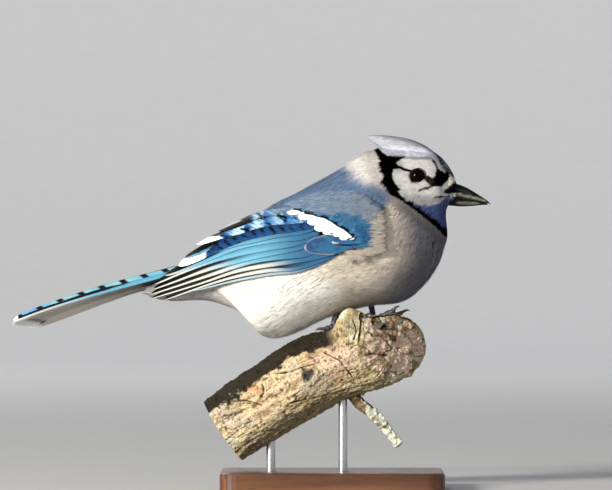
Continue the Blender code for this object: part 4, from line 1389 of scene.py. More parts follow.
def strip_paint(t, c, along, flat):
    """Above the shaft a turquoise web with slanting ink bars, blue at the tip. Below it an ink line that
    widens towards the tip, and a blue edge that turns grey."""
    cloud = rough(flat[..., (0, 1, 1)], 4.0)
    bars = barred(along - 2.6 * c, 0 * c, 12.1, 0.3, 0.0, 5.0)
    upper = painted(
        rgb(118, 164, 168),
        (rgb(98, 148, 162), soft(cloud, -0.5, 0.5)),
        (rgb(84, 142, 190), soft(t, 0.66, 0.8)),
        (rgb(70, 126, 160), soft(0.34 - c, 0, 0.1)),
        (INK, bars * soft(c, 0.12, 0.25)),
        (INK, soft(c, 0.9, 0.97) * soft(0.3 - t, 0, 0.1)),
    )
    lower = mixed(rgb(84, 138, 160), rgb(160, 164, 164), soft(t, 0.45, 0.8))
    return painted(
        lower,
        (upper, soft(c, -0.06, 0.02)),
        (INK, soft(0.08 + 0.32 * soft(t, 0.3, 0.5) - np.abs(c - 0.1), 0, 0.1)),
        (WHITE, soft(t, 0.955, 0.97)),
    )


# %% Upper vanes, under vanes and the strips
PAIRS = 6
tail_top, tail_low = [], []
for index in reversed(range(PAIRS)):
    for side in (1, -1):
        low, high = ((2.6, 2.6), (4.2, 4.2))[::side]
        shape = dict(line=tail_line(index, side, 1.6 * index + 1.6), low=low, high=high, tip=14, full=0.9,
                     rise=(1.9 - 0.22 * index, 1.3 - 0.2 * index), tilt=0.0)
        tail_top.append((shape, rectrix_paint(index)))
for index in range(PAIRS):
    for side in (1, -1):
        shape = dict(line=tail_line(index, side, 1.6 * index), low=(2.4, 2.4), high=(3.6, 3.6), tip=14,
                     full=0.9, rise=(-1.3 - 0.12 * index, -0.5 - 0.12 * index), tilt=0.0)
        tail_low.append((shape, under_paint(index / (PAIRS - 1))))
quills("tail_upper", tail, tail_top, ("tail",), flip=True)
quills("tail_under", tail, tail_low, ("tail",))
# Each strip: how far it stops before the fan's end, and its lower web at root and tip
for word, side, shorter, low in (("right", 1, 2.5, (1.9, 1.5)), ("left", -1, 17.0, (0.6, 0.5))):
    line = np.array([(6.0, 3.6), (40.0, 3.5), (70.0, 3.0), (100.0, 2.8), (TAIL_LENGTH - shorter, 3.2)])
    shape = dict(line=line, low=low, high=(3.2, 2.3), rise=(0.2, 0.2), tilt=0.25, tip=30, full=0.1, rows=240)
    quills(f"tail_edge_{word}", tail_edge(side), [(shape, strip_paint)], ("tail",), flip=side < 0)

# %% [markdown]
# ## Eyes, lids and bill
#
# The eye of a jay is a dark brown bead, set deep, with a thin dark lid round it. The bead is a
# sphere with the iris and pupil on it in rings, under a clear coat. The lid is a ring turned round
# the eye: it starts on the bead, folds over and ends in the skin, whose breadth is asked for at
# each of its points.

# %% Eyes and lids
eye_finish = Finish("eye_wet", roughness=0.2, coat_weight=0.5, coat_roughness=0.04, coat_ior=1.2,
                    specular_ior_level=0.0)
eye_finish.tinted(eye_finish.noise(1400.0, 4.0), 0.7, 1.25)

lid_finish = Finish("eyelid", roughness=0.8, specular_ior_level=0.05)
lid_grain = lid_finish.noise(1500.0, 3.0)
lid_finish.feed("Base Color", lid_finish.mix(lid_grain, opaque(10, 9, 10), opaque(28, 25, 26)))
lid_finish.bump(lid_grain, 0.4, 0.0001)

# The lid's profile: how far from the eye's axis, and how far it stands off what it lies on
LID_PROFILE = np.array([
    (3.52, 0.00), (3.57, 0.14), (3.68, 0.25), (3.83, 0.28),
    (4.0, 0.18), (4.2, 0.0), (4.4, -0.35), (4.6, -0.9),
])
LID_SINK = 0.9


def bead_grid():
    """Rings of a sphere about Y, as points, and each point's distance from the axis."""
    turn = np.linspace(0, 2 * np.pi, 72, endpoint=False)
    turn, ring = np.meshgrid(turn, np.linspace(0.02, np.pi - 0.02, 60))
    out = EYE_RADIUS * np.sin(ring)
    return np.stack([out * np.cos(turn), EYE_RADIUS * np.cos(ring), out * np.sin(turn)], -1), out


def lid_grid():
    """The profile turned round the eye: on the bead at its start and on the body at its end."""
    angle, step = np.meshgrid(np.linspace(0, 2 * np.pi, 96, endpoint=False), np.linspace(0, 7, 22))
    r, proud = np.moveaxis(spline(LID_PROFILE, step), -1, 0)
    x, z = EYE_CENTRE[0] + r * np.cos(angle), EYE_CENTRE[2] + r * np.sin(angle)
    on_bead = EYE_CENTRE[1] + np.sqrt(np.maximum(EYE_RADIUS**2 - r**2, 0.01))
    y = on_bead + (body_side(x, z) - LID_SINK - on_bead) * soft(r, 3.6, 4.6) + proud
    return np.stack([x, y, z], -1)


bead, bead_out = bead_grid()
iris = painted(
    rgb(27, 12, 10),
    (rgb(12, 6, 6), soft(bead_out, 2.3, 3.3)),
    (rgb(3, 2, 2), 1 - soft(bead_out, 1.9, 2.4)),
    (rgb(8, 7, 8), bead[..., 1] <= 0),
)
lid = lid_grid()
for word, side in SIDES:
    node = f"eye_{word}"
    surface(f"{node}_bead", (EYE_CENTRE + bead) * (1, side, 1), eye_finish, closed=True,
            caps=(0, 1), flip=side > 0, tints=iris, replaced=(node,))
    surface(f"eyelid_{word}", lid * (1, side, 1), lid_finish, closed=True, flip=side < 0,
            replaced=(node,))

# %% [markdown]
# ## The bill
#
# Horn, slate black, a little shiny and scratched along its length, with paler streaks of painted highlight
# on its flanks and painted shade along the seam between the halves. Each half is a loft of rings that are
# flat at the cutting edge and round at the ridge. The rings go on a little way into the head, so that
# feathers grow over the base, and the lower half closes up inside the upper one.

# %% Both halves of the bill
BILL_UPPER = np.array([
    (65.0, 170.6, 61.0, 161.6, 4.9), (69.7, 169.2, 66.5, 161.2, 5.0), (74.8, 167.2, 72.3, 160.6, 4.3),
    (79.7, 164.3, 78.3, 159.8, 3.3), (84.3, 161.4, 83.9, 159.1, 2.1), (87.0, 159.3, 86.9, 158.4, 1.0),
    (87.9, 157.9, 87.8, 157.6, 0.35),
])
BILL_LOWER = np.array([
    (61.0, 161.6, 59.0, 157.6, 4.5), (66.35, 161.4, 64.9, 157.2, 4.4), (72.3, 160.8, 71.4, 156.7, 3.7),
    (78.3, 160.0, 77.7, 156.9, 2.7), (83.7, 159.2, 83.5, 157.5, 1.6), (86.5, 158.4, 86.4, 157.6, 0.6),
])
# The seam where the halves meet, painted as a dark line of shade
SEAM_SHADE_LINE = seen_at((444, 197), (452, 198.4), (466, 199.5), (478, 201.5), (488, 204))
# Painted highlights: grey-green streaks on the flanks, where light glances off the horn
BILL_HIGHLIGHTS = (
    seen_at((448, 194.5), (455, 193.2), (462, 195.5)),
    seen_at((464, 196.3), (474, 197.5), (484, 200.6)),
    seen_at((457, 203), (470, 203.4), (479, 203)),
)
BILL_RINGS, BILL_BEND, BILL_FLAT = 110, 40, 16


def mandible(rows, upper):
    """A ring: across by half width x cos a, up from the cutting edge by (sin a)^1.15 of its height, and
    back along the flat side, which is cupped by 0.06 of the height. The upper half's power is 1."""
    rows = spline(rows, np.linspace(0, len(rows) - 1, BILL_RINGS))
    edge, ridge = (rows[:, 2:4], rows[:, 0:2]) if upper else (rows[:, 0:2], rows[:, 2:4])
    bend = np.linspace(0, np.pi, BILL_BEND)
    flat = np.linspace(-1, 1, BILL_FLAT + 2)[1:-1]
    side = np.concatenate([np.cos(bend), flat])
    rise = np.concatenate([np.sin(bend) ** (1.0 if upper else 1.15), 0.06 * (1 - flat**2)])
    x = edge[:, :1] + (ridge - edge)[:, :1] * rise
    z = edge[:, 1:] + (ridge - edge)[:, 1:] * rise
    keel = 1 - 0.16 * np.exp(-(((rise - 0.75) / 0.2) ** 2))
    return np.stack([x, rows[:, 4:5] * side * keel, z], -1)


def bill_colours(points):
    """Near black, cloudy, with painted grey-green highlights on the flanks and painted shade in ink along
    the seam of the halves.
    """
    seen = points[..., (0, 2)]
    stretched = points * (0.35, 1.0, 1.0)
    # how wide the painted highlights are, wandering along the bill
    wear = 0.5 + 0.6 * rough(stretched + 7, 1.0, 2)
    return painted(
        rgb(14, 14, 16),
        (rgb(40, 40, 40), soft(rough(stretched, 2.2, 2), -0.1, 0.9)),
        # painted highlights on the flanks
        *((rgb(124, 126, 108), 0.8 * soft(wear - away(seen, streak), -0.9, 0.9)) for streak in BILL_HIGHLIGHTS),
        # painted shade along the seam between the halves
        (INK, 0.9 * soft(0.75 - away(seen, SEAM_SHADE_LINE), -0.2, 0.3)),
    )


horn = Finish("horn", specular_ior_level=0.18)
scratch = horn.noise(2600.0, 4.0, horn.place((0.12, 1.0, 1.0)))
horn.tinted(scratch, 0.75, 1.3)
horn.feed("Roughness", horn.range(scratch, 0.3, 0.7, 0.34, 0.55))
horn.bump(scratch, 0.25, 0.00008)
for node, rows, upper in (("bill_upper", BILL_UPPER, True), ("bill_lower", BILL_LOWER, False)):
    points = mandible(rows, upper)
    surface(f"{node}_horn", points, horn, closed=True, caps=(0, 1), flip=upper,
            tints=bill_colours(points), replaced=(node,))

# %% [markdown]
# ## The branch
#
# The perch is a cut length of an old branch, thicker than the bird's toes can span, sawn at its low
# end and broken at its high end. Its line and radius are those of the solid. The bark is made in
# the mesh itself: flakes, cracks that open between them, grains and pits, the stub of a side
# branch and a knot, all from the smooth random field, stretched along the wood.

# %% The branch's line and surface
BRANCH = np.array([
    (-60.0, 0.0, 32.0, 18.6), (-45.0, -1.5, 42.0, 19.2), (-26.0, -3.0, 54.6, 20.2),
    (-7.8, -4.5, 65.2, 20.2), (10.0, -5.0, 71.4, 18.8), (28.0, -5.5, 77.2, 18.8),
    (45.0, -6.0, 82.0, 18.4), (62.0, -6.5, 86.5, 17.8),
])
BREAK_PLACE, BREAK_SLANT, BREAK_DOME = 5.3, 1.05, 3.6
# The bird's painted shadow along the top of the branch: its edge on the cosine of the angle, and the place
# where it ends
BIRD_SHADOW_EDGE, BIRD_SHADOW_END = (0.54, 0.68), 4.0
SWELLS = ((3, 1.2, 0.035, 0.0), (5, -1.6, 0.02, 1.0))
HUMP_HEIGHT, HUMP_PLACE, HUMP_SPREAD = 13.5, (4.4, 0.6), (0.52, 0.19)


def branch_frame(at):
    """Middle, axis, upward and sideways directions and radius at places along the rows. The axis comes
    from points a small step apart."""
    last, step = len(BRANCH) - 1, 1e-3
    ahead = spline(BRANCH, np.minimum(at + step, last))[..., :3]
    axis = unit(ahead - spline(BRANCH, np.minimum(at + step, last) - 2 * step)[..., :3])
    side = unit(np.cross(axis, (0, 0, 1.0)))
    rows = spline(BRANCH, at)
    return rows[..., :3], axis, np.cross(side, axis), side, rows[..., 3]


def branch_points(at, angle, extra=0.0):
    """The wood's surface: radius x low swells, plus the hump, exp of minus its two distances squared.
    The angle starts at the top and turns to the bird's right."""
    middle, _, up, side, radius = branch_frame(at)
    waves = (height * np.sin(lobes * angle + twist * at + phase) for lobes, twist, height, phase in SWELLS)
    along, round_it = (at - HUMP_PLACE[0]) / HUMP_SPREAD[0], (angle - HUMP_PLACE[1]) / HUMP_SPREAD[1]
    hump = HUMP_HEIGHT * np.exp(-(along**2) - round_it**2)
    reach = radius * (1 + sum(waves)) + hump + extra
    return middle + up * (reach * np.cos(angle))[..., None] + side * (reach * np.sin(angle))[..., None]


# %% The bark's marks
BARK = {
    "tan": rgb(196, 176, 140),
    "brown": rgb(150, 124, 92),
    "crack": rgb(44, 35, 27),
    "grey": rgb(172, 162, 144),
    "lichen": rgb(206, 212, 192),
    "orange": rgb(196, 134, 92),
    "pink": rgb(208, 178, 156),
    "wood": rgb(206, 186, 158),
    "knot": rgb(48, 50, 52),
    "olive": rgb(140, 136, 88),
    "rust": rgb(150, 96, 70),
    "pit": rgb(84, 66, 48),
}
# Each blotch: its middle in pixels, its size along x and z, its colour and how much of it
BLOTCHES = (
    ((338, 357), (12.0, 8.0), "pink", 0.6),
    ((254, 388), (4.6, 1.8), "orange", 0.8),
    ((317, 388), (1.6, 1.2), "rust", 0.8),
    ((204, 430), (5.5, 9.0), "lichen", 0.7),
    ((232, 440), (4.0, 3.0), "lichen", 0.5),
    ((365, 330), (7.0, 3.0), "olive", 0.5),
    ((290, 345), (16.0, 2.5), "olive", 0.5),
    ((343, 312), (3.2, 5.0), "lichen", 0.9),
    ((352, 328), (5.0, 7.0), "lichen", 0.4),
)
# Each crack: its line in pixels and its half width
CRACKS = (
    (((274, 373), (290, 371), (303, 366), (315, 363)), 0.28),
    (((263, 384), (264, 391), (261, 396)), 0.3),
    (((222, 402), (246, 399), (262, 404)), 0.22),
    (((325, 352), (340, 360), (352, 376)), 0.22),
    (((290, 402), (318, 396), (345, 388)), 0.25),
    (((352, 318), (356, 330), (353, 340)), 0.25),
)
KNOT_SPOT, KNOB_SPOT = seen_at((308, 374), (363, 395))


def bark_field(points, at, angle):
    """Height and colour of the bark: flakes are steps in a stretched field, cracks lie where another
    passes through zero, and pits are where a fine one is lowest."""
    stretched = np.stack([at * 7.0, 19 * np.sin(angle), 19 * np.cos(angle)], -1)
    flakes = rough(stretched * (1, 1.7, 1.7), 6.0, 3)
    step = soft((flakes * 3.2) % 1, 0.0, 0.35) * 0.5
    fine = rough(points + 31, 1.7, 2)
    pit = soft(rough(points + 63, 1.25), 0.38, 0.62)
    crack = np.exp(-((rough(stretched * (0.7, 2.1, 2.1) + 90, 9.0, 2) / 0.05) ** 2))
    crack = crack * soft(rough(points + 12, 11.0), -0.1, 0.4)
    height = 0.9 * flakes + 0.75 * step + 0.38 * fine - 0.4 * pit - 0.8 * crack
    seen = points[..., (0, 2)]
    near = soft(6 - points[..., 1], 0, 4)
    ragged = 0.45 * rough(points + 3, 4.0, 3) + 0.25 * fine
    # painted shadow of the bird along the top of the branch
    bird_shadow = soft(np.cos(angle) + 0.3 * ragged, *BIRD_SHADOW_EDGE) * soft(BIRD_SHADOW_END - at, 0, 0.5)

    def blotch(spot, size):
        off = np.linalg.norm((seen - seen_at(spot)) / size, axis=-1) + ragged
        return near * soft(1.15 - off, 0, 0.5)

    colour = painted(
        BARK["brown"],
        (BARK["tan"], soft(flakes + 0.5 * fine + 0.7 * step, -0.5, 0.5)),
        (BARK["grey"], 0.6 * soft(rough(points + 71, 10, 3), 0.0, 0.7)),
        *((BARK[word], share * blotch(spot, size)) for spot, size, word, share in BLOTCHES),
        (BARK["olive"], 0.4 * soft(np.cos(angle) + 0.6 * ragged, 0.5, 0.9)),
        # painted shade: the underside of the branch is darker olive
        (BARK["olive"] * 0.5, 0.5 * soft(-np.cos(angle) + 0.5 * ragged, 0.2, 0.9)),
        (BARK["pit"], 0.75 * pit),
        (BARK["crack"], 0.8 * soft(crack, 0.3, 0.9)),
        # painted shadow of the bird
        (BARK["crack"] * 0.3, 0.96 * bird_shadow),
    )
    wander = 0.25 * rough(points + 5, 2.0, 2)
    for line, width in CRACKS:
        open_by = near * soft(width + wander - away(seen, seen_at(*line)), -0.25, 0.15)
        height, colour = height - 1.1 * open_by, mixed(colour, BARK["crack"], open_by)
    knot = np.linalg.norm(seen - KNOT_SPOT, axis=-1) / 4.2 + 0.25 * rough(points, 2.0, 2)
    dent = near * soft(1.1 - knot, 0, 0.5)
    lip = near * np.exp(-(((knot - 1.15) / 0.25) ** 2))
    height = height - 1.4 * dent + 1.1 * lip + 0.7 * fine * dent
    knob = np.linalg.norm(seen - KNOB_SPOT, axis=-1) / 2.4
    height = height + 1.6 * near * soft(1.1 - knob, 0, 0.7)
    return height, mixed(colour, BARK["knot"], 0.9 * dent)


# %% The bark along the branch
ALONG, AROUND = 250, 300
turns = np.linspace(-np.pi, np.pi, AROUND, endpoint=False)
share, angle = np.meshgrid(np.linspace(0, 1, ALONG), turns, indexing="ij")
at = share * (BREAK_PLACE - BREAK_SLANT * np.sin(angle))
height, bark_tints = bark_field(branch_points(at, angle), at, angle)
bark_points = branch_points(at, angle, height)
print(f"bark: {height.min():.1f} to {height.max():.1f} mm off the smooth wood")

# %% The broken end: rings that close by a cosine and stand out by a sine, as on a dome
centre = branch_points(at[-1:], angle[-1:])[0].mean(axis=0)
_, end_axis, _, end_side, _ = branch_frame(np.array(BREAK_PLACE))
facing = unit(end_axis + end_side)
swing = np.linspace(0.03, np.pi / 2, 44)[:, None]
inward = 1 - np.cos(swing)
broken = centre + (bark_points[-1] - centre) * np.cos(swing)[..., None]
broken = broken + facing * (BREAK_DOME * np.sin(swing))[..., None]
grain = rough(broken * (1.0, 1.0, 1.5) + 5, 5.0, 4)
split = np.exp(-((rough(broken * (1, 1, 2.2) + 80, 11.0, 2) / 0.045) ** 2)) * soft(inward, 0.02, 0.1)
gap = soft(np.cos(angle[:1]), 0.2, 0.7) * np.exp(-(((inward - 0.05) / 0.03) ** 2))
relief = 1.1 * grain - 1.3 * split - 1.6 * gap + 0.5 * rough(broken + 20, 1.6, 2)
broken = broken + facing * (relief * soft(inward, 0.0, 0.02))[..., None]
broken_tints = painted(
    BARK["wood"],
    (BARK["brown"] * 0.8, soft(grain, -0.3, 0.6)),
    (BARK["lichen"], 0.5 * soft(rough(broken + 140, 6.0, 3), 0.3, 0.6)),
    (BARK["pink"], 0.9 * soft(rough(broken + 44, 6.5, 3), 0.35, 0.5)),
    (BARK["olive"], 0.5 * soft(inward, 0.0, 0.02) * soft(0.16 - inward, 0, 0.1)),
    (BARK["crack"], np.maximum(soft(split, 0.3, 0.9), soft(gap, 0.2, 0.8))),
)
broken_tints = mixed(bark_tints[-1], broken_tints, soft(inward, 0.0, 0.015))
print(f"broken end: {relief.min():.1f} to {relief.max():.1f} mm off the dome")

# %% The sawn end, and the whole branch
sawn_size = np.linspace(0.03, 0.98, 26)[:, None]
sawn_middle = bark_points[0].mean(axis=0)
sawn = sawn_middle + (bark_points[0] - sawn_middle) * sawn_size[..., None]
year_rings = np.sin(sawn_size * 60 + 2.5 * rough(sawn, 12, 2))
sawn_tints = mixed(rgb(214, 186, 140), rgb(168, 132, 88), soft(year_rings, -0.6, 0.9))

bark_finish = Finish("bark", roughness=0.9, specular_ior_level=0.15)
crumb = bark_finish.noise(1500.0, 6.0)
bark_finish.tinted(crumb, 0.56, 1.2)
bark_finish.bump(crumb, 0.8, 0.0007)
surface("perch_bark", np.concatenate([sawn, bark_points, broken]), bark_finish, closed=True,
        caps=(0, 1), tints=np.concatenate([sawn_tints, bark_tints, broken_tints]), replaced=("perch",))


# %% The twig under the branch
def tube(path, radius, toward, around):
    """Rings round a path: the side direction is the axis crossed with a given one, and the up direction
    is the side crossed with the axis."""
    axis = unit(np.gradient(path, axis=0))
    side = unit(np.cross(axis, toward))
    angle = np.linspace(0, 2 * np.pi, around, endpoint=False)[None, :, None]
    ring = side[:, None] * np.cos(angle) + np.cross(side, axis)[:, None] * np.sin(angle)
    return path[:, None] + ring * np.asarray(radius)[:, None, None], ring


TWIG = np.array([
    (8.0, -5.0, 60.0, 3.8), (14.0, -6.5, 49.0, 3.3), (25.6, -8.0, 39.0, 2.9), (37.0, -8.5, 25.0, 2.3),
])
TWIG_RINGS, TWIG_AROUND, TWIG_DOME = 160, 72, 1.2
rows = spline(TWIG, np.linspace(0, len(TWIG) - 1, TWIG_RINGS))
twig, ring = tube(rows[:, :3], rows[:, 3], (0, 1.0, 0), TWIG_AROUND)
lichen = soft(np.linspace(0, 1, TWIG_RINGS)[:, None] + 0.25 * rough(twig, 3.0, 2), 0.5, 0.7)
crust = rough(twig + 15, 1.8, 3)
twig = twig + ring * (0.35 * crust + 0.5 * lichen * (0.3 + crust))[..., None]
close = np.linspace(1, 0.06, 10)[1:, None, None]
twig_end, twig_way = twig[-1].mean(axis=0), unit(rows[-1, :3] - rows[-2, :3])
twig_cap = twig_end + (twig[-1] - twig_end) * close + twig_way * (1 - close**2) * TWIG_DOME
twig_tints = painted(
    rgb(70, 56, 42),
    (rgb(120, 100, 74), soft(crust, -0.3, 0.6)),
    (BARK["lichen"], 0.9 * lichen),
)
cap_tints = np.repeat(twig_tints[-1:], len(twig_cap), axis=0)
surface("perch_twig_bark", np.concatenate([twig, twig_cap]), bark_finish, closed=True, caps=(0, 1),
        tints=np.concatenate([twig_tints, cap_tints]), replaced=("perch_twig",))

# %% [markdown]
# ## Legs, toes and claws
#
# A perching bird's foot has three toes forward and one back. The toes lie on the bark along four
# lines, scaly above with a ring of horn at each joint, and padded below. Each ends in a curved
# claw, which is a piece of its own. The tarsus is a thin scaly rod that goes up into the belly.

# %% Where the feet stand
# Each foot: where it stands, and where its leg goes into the belly, as x and y
FEET = {"right": ((2.5, -4.8), (7.0, -9.0)), "left": ((24.0, 4.5), (21.0, 8.5))}
LEG_HEIGHT = 14.0
TOE_RADIUS = 1.45
# Each toe: how far it reaches along the branch and turns round it, and its claw's length
TOES = {
    "inner": (0.66, -0.28, 6.0),
    "middle": (0.88, 0.03, 6.5),
    "outer": (0.54, 0.15, 5.5),
    "hind": (-0.38, 0.12, 7.0),
}
CLAW_BEND = 1.1
SEAT_GAP = 0.55


def top_place(x, y):
    """The place and angle where the wood's top lies at x and y: the angle whose sine is the offset over
    the radius, then x read backwards along the branch."""
    at = np.linspace(0, len(BRANCH) - 1, 200)
    middle, _, _, _, radius = branch_frame(at)
    angle = np.arcsin((middle[:, 1] - y) / radius)
    place = np.interp(x, branch_points(at, angle)[:, 0], at)
    return float(place), float(np.interp(place, at, angle))


def bumps(t, count, height):
    """Overlapping scales as a saw wave that is rounded: each one rises fast and falls slowly."""
    wave = (t * count) % 1
    return height * (soft(wave, 0, 0.25) - wave)


def lofted_toe(start, turn, at_end, turn_end):
    """A toe's path on the bark, its radius with three knuckles, and the way out from the wood."""
    t = np.linspace(0, 1, 90)
    at, angle = start + (at_end - start) * t, turn + (turn_end - turn) * t
    radius = TOE_RADIUS * (1 - 0.22 * t) * (1 + 0.09 * np.cos(6 * np.pi * t))
    seat = branch_points(at, angle, SEAT_GAP)
    outward = unit(seat - branch_frame(at)[0])
    return seat + outward * radius[:, None], radius, outward, t


scale_finish = Finish("scales", roughness=0.5, specular_ior_level=0.4)
scale_grain = scale_finish.noise(1800.0, 3.0)
scale_finish.tinted(scale_grain, 0.75, 1.2)
scale_finish.bump(scale_grain, 0.4, 0.00012)
SCALE_DARK, SCALE_PALE = rgb(36, 36, 42), rgb(88, 86, 92)
SCALE_HEIGHT, PAD_HEIGHT = 0.17, 0.10
LIMB_AROUND, CLAW_AROUND = 30, 20


def scaled_tube(path, radius, toward, t, scales):
    """A tube whose upper half carries scales as low steps, and whose lower half carries small pads."""
    rings, ring = tube(path, radius, toward, LIMB_AROUND)
    above = soft((ring * unit(toward)[:, None]).sum(-1), -0.2, 0.5)
    steps = bumps(t, scales, SCALE_HEIGHT)[:, None] * above
    pads = PAD_HEIGHT * np.sin(2 * np.pi * scales * 0.7 * t)[:, None] * (1 - above)
    dark = soft((t * scales) % 1, 0.1, 0.5)[:, None] * above + 0.4 * (1 - above)
    return rings + ring * (steps + pads)[..., None], mixed(SCALE_PALE, SCALE_DARK, dark)


def closed_parts(name, parts, finish, replaced):
    """Joins closed tubes of one ring size into a piece, each with a fan at both ends."""
    verts, tints, loops, starts, first, begun = [], [], [], [], 0, 0
    for rings, shade in parts:
        rows, columns = rings.shape[:2]
        quads = grid_quads(rows, columns, True)[:, ::-1] + first
        middle = np.full(columns, first + rows * columns)
        near = first + np.arange(columns)
        far = near + (rows - 1) * columns
        fans = (middle, np.roll(near, -1), near), (middle + 1, far, np.roll(far, -1))
        verts += [rings.reshape(-1, 3), rings[0].mean(axis=0)[None], rings[-1].mean(axis=0)[None]]
        tints += [shade.reshape(-1, 3), shade[0].mean(axis=0)[None], shade[-1].mean(axis=0)[None]]
        loops += [quads.ravel(), *(np.stack(fan, -1).ravel() for fan in fans)]
        starts += [begun + 4 * np.arange(len(quads)), begun + 4 * len(quads) + 3 * np.arange(2 * columns)]
        begun += 4 * len(quads) + 6 * columns
        first += rows * columns + 2
    make_mesh(name, np.concatenate(verts), np.concatenate(loops), np.concatenate(starts), finish,
              replaced, np.concatenate(tints))
    print(f"{name}: {len(parts)} parts, {2 * sum(r.shape[0] * r.shape[1] for r, _ in parts)} triangles")


# %% Claws and legs
claw_finish = Finish("claw_horn", roughness=0.3, specular_ior_level=0.5)
claw_finish.tinted(claw_finish.noise(1500.0, 3.0), 0.75, 1.2)
CLAW_DARK, CLAW_BROWN, CLAW_TIP = rgb(30, 29, 32), rgb(60, 54, 50), rgb(120, 108, 92)


def claw(path, outward, length, base):
    """On from a toe's end by length x sin(bend) / bend, and a low arc out that comes down at the tip."""
    ahead = unit(path[-1] - path[-4])
    t = np.linspace(0, 1, 40)
    hook = path[-1] - ahead * 0.6 + ahead * (length * np.sin(t * CLAW_BEND) / CLAW_BEND)[:, None]
    hook = hook + outward[-1] * (1.25 * np.sin(t * np.pi * 0.85) - 0.9 * t**2)[:, None]
    thick = np.maximum(0.95 * (1 - t**1.6), 0.06)
    rings, _ = tube(hook, thick, np.broadcast_to(outward[-1], hook.shape), CLAW_AROUND)
    return rings, np.broadcast_to(mixed(base, CLAW_TIP, 0.6 * t)[:, None], rings.shape)


def leg(start, turn, hip):
    """The tarsus, from the foot straight up off the wood and then on to the hip."""
    _, _, up, _, _ = branch_frame(np.array(start))
    seat = branch_points(np.array([start]), np.array([turn]), TOE_RADIUS + 0.9)[0]
    hip = np.array([*hip, seat[2] + LEG_HEIGHT])
    t = np.linspace(0, 1, 120)
    line = spline([seat - up * 0.8, seat + up * 2.2, (seat + up * 4 + hip) / 2, hip], np.linspace(0, 3, 120))
    girth = np.interp(t, (0, 0.1, 0.3, 0.8, 1), (2.5, 2.3, 1.6, 1.7, 2.1))
    return scaled_tube(line, girth, np.broadcast_to(np.array((1.0, 0, 0.2)), line.shape), t, 11)


for word, (foot, hip) in FEET.items():
    start, turn = top_place(*foot)
    outer_way = 1 if word == "right" else -1
    toes, claws = [], []
    for toe, (reach, turn_by, length) in TOES.items():
        hind = toe == "hind"
        path, radius, outward, t = lofted_toe(start, turn, start + reach, turn + outer_way * turn_by)
        toes.append(scaled_tube(path, radius, outward, t, 5 if hind else 9))
        claws.append(claw(path, outward, length, CLAW_BROWN if hind else CLAW_DARK))
    closed_parts(f"foot_{word}_scales", toes, scale_finish, (f"foot_{word}",))
    closed_parts(f"claws_{word}", claws, claw_finish, (f"foot_{word}",))
    closed_parts(f"leg_{word}_scales", [leg(start, turn, hip)], scale_finish, (f"leg_{word}",))

# %% [markdown]
# ## The stand
#
# The stand is plain and keeps the solids of the model: a dark wooden base with eased edges and two
# steel rods. They only need a finish. The base is end-matched wood with long grain, oiled, and the
# rods are drawn steel with fine lines round them.

# %% Finishes of the stand
wood = Finish("stand_wood", roughness=0.42, specular_ior_level=0.4)
along_grain = wood.place((0.06, 1.0, 1.0))
bands = {"wave_type": "BANDS", "bands_direction": "Y"}
lines = wood.node("TexWave", bands, Vector=along_grain, Scale=90.0, Distortion=6.0, Detail=3.0, output=1)
clouds = wood.range(wood.noise(30.0, 3.0, along_grain), 0.35, 0.65)
pores = wood.noise(1400.0, 2.0, along_grain)
walnut = wood.mix(lines, opaque(74, 46, 30), opaque(112, 74, 48))
walnut = wood.mix(clouds, walnut, opaque(58, 36, 24))
wood.feed("Base Color", wood.mix(wood.range(pores, 0.6, 0.75, 0.0, 0.7), walnut, opaque(34, 21, 15)))
wood.feed("Roughness", wood.range(pores, 0.4, 0.7, 0.36, 0.55))
wood.bump(pores, 0.2, 0.0001)

steel = Finish("stand_steel", metallic=1.0)
draw_lines = steel.noise(700.0, 2.0, steel.place((1.0, 1.0, 14.0)))
steel.feed("Roughness", steel.range(draw_lines, 0.3, 0.7, 0.2, 0.42))
steel.feed("Base Color", steel.mix(draw_lines, opaque(176, 178, 182), opaque(214, 214, 216)))

for node, finish in (("stand_base", wood), ("stand_rod_rear", steel), ("stand_rod_front", steel)):
    piece = frame["nodes"][node]
    for place in piece.material_slots:
        place.material = finish.material
    print(node, "keeps its solid,", len(piece.material_slots), "slot")

# %% [markdown]
# ## Floor and light
#
# The floor is plain and pale and rises into a wall by a quarter circle all the way round, so that
# no edge shows from any side. Far from the model it glows a little, so that floor and wall run into
# one pale background. The light is one strong soft lamp, low in front on the left, a weak one on
# the right, one behind and above, and a pale sky.

# %% The floor
FLAT, CURVE, WALL = 3300.0, 2600.0, 4600.0
FLOOR_AROUND = 96
FLOOR_GAP = 0.2
# The glow: its strength, and from and to how far off it grows, in metres
GLOW, GLOW_FROM, GLOW_TO = 0.3, 0.8, 4.4
arc = np.linspace(0, np.pi / 2, 24)[1:]
profile = np.concatenate([
    np.stack([np.linspace(1, FLAT, 12), np.zeros(12)], -1),
    np.stack([FLAT + CURVE * np.sin(arc), CURVE * (1 - np.cos(arc))], -1),
    np.array([[FLAT + CURVE, WALL]]),
])
turn = np.linspace(0, 2 * np.pi, FLOOR_AROUND, endpoint=False)
out, up = profile[:, :1], np.repeat(profile[:, 1:] - FLOOR_GAP, FLOOR_AROUND, axis=1)
bowl = np.stack([out * np.cos(turn), out * np.sin(turn), up], -1).reshape(-1, 3) * MM
bowl_quads = grid_quads(len(profile), FLOOR_AROUND, True)[:, ::-1]

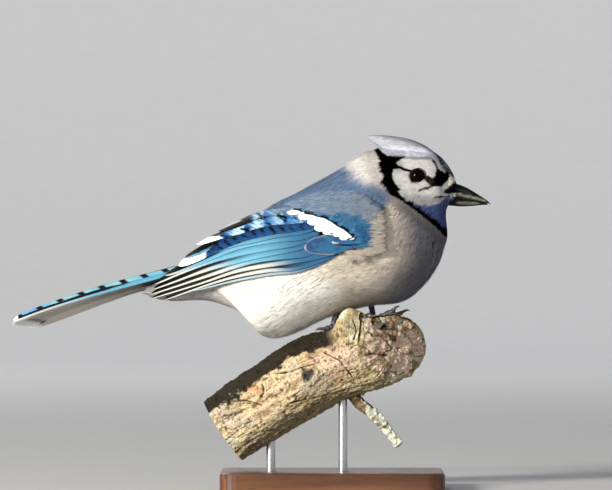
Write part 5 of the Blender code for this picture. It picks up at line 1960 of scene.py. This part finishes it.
floor_finish = Finish("floor_paper", roughness=0.95, specular_ior_level=0.05, emission_strength=1.0)
spot = floor_finish.place()
paper = floor_finish.noise(40.0, 4.0, spot)
floor_finish.feed("Base Color", floor_finish.mix(paper, opaque(180, 180, 179), opaque(186, 186, 186)))
how_far = floor_finish.node("VectorMath", {"operation": "LENGTH"}, spot, output=1)
glow = floor_finish.range(how_far, GLOW_FROM, GLOW_TO, 0.0, GLOW)
floor_finish.feed("Emission Color", floor_finish.node("CombineColor", None, glow, glow, glow * 1.02))

floor = bpy.data.objects.new("floor", bpy.data.meshes.new("floor"))
floor.data.from_pydata(bowl.tolist(), [], bowl_quads.tolist())
floor.data.shade_smooth()
floor.data.materials.append(floor_finish.material)
bpy.context.scene.collection.objects.link(floor)
print(f"floor: {len(bowl_quads)} quads")

# %% The lamps and the sky
LAMPS_AIM = Vector((0, 0, 0.13))
# Each lamp: its place and side in metres, its power in watts and its colour
LAMPS = {
    "key": ((-2.1, -2.35, 0.9), 0.6, 226.0, (1.0, 0.96, 0.90)),
    "fill": ((2.4, -1.8, 0.9), 1.6, 4.0, (0.86, 0.91, 1.0)),
    "rim": ((-0.6, 2.6, 2.0), 1.2, 26.0, (1.0, 1.0, 1.0)),
}
SKY_COLOUR, SKY_STRENGTH = (0.74, 0.84, 1.0, 1.0), 0.17

for word, (place, size, power, colour) in LAMPS.items():
    lamp = bpy.data.objects.new(word, bpy.data.lights.new(word, "AREA"))
    lamp.data.size, lamp.data.energy, lamp.data.color = size, power, colour
    lamp.location = place
    lamp.rotation_euler = (LAMPS_AIM - Vector(place)).to_track_quat("-Z", "Y").to_euler()
    bpy.context.scene.collection.objects.link(lamp)

sky = bpy.data.worlds.new("sky")
bpy.context.scene.world = sky
sky.use_nodes = True
background = sky.node_tree.nodes["Background"]
background.inputs["Color"].default_value = SKY_COLOUR
background.inputs["Strength"].default_value = SKY_STRENGTH
bpy.context.scene.view_settings.view_transform = "Standard"
print("lamps:", ", ".join(LAMPS))
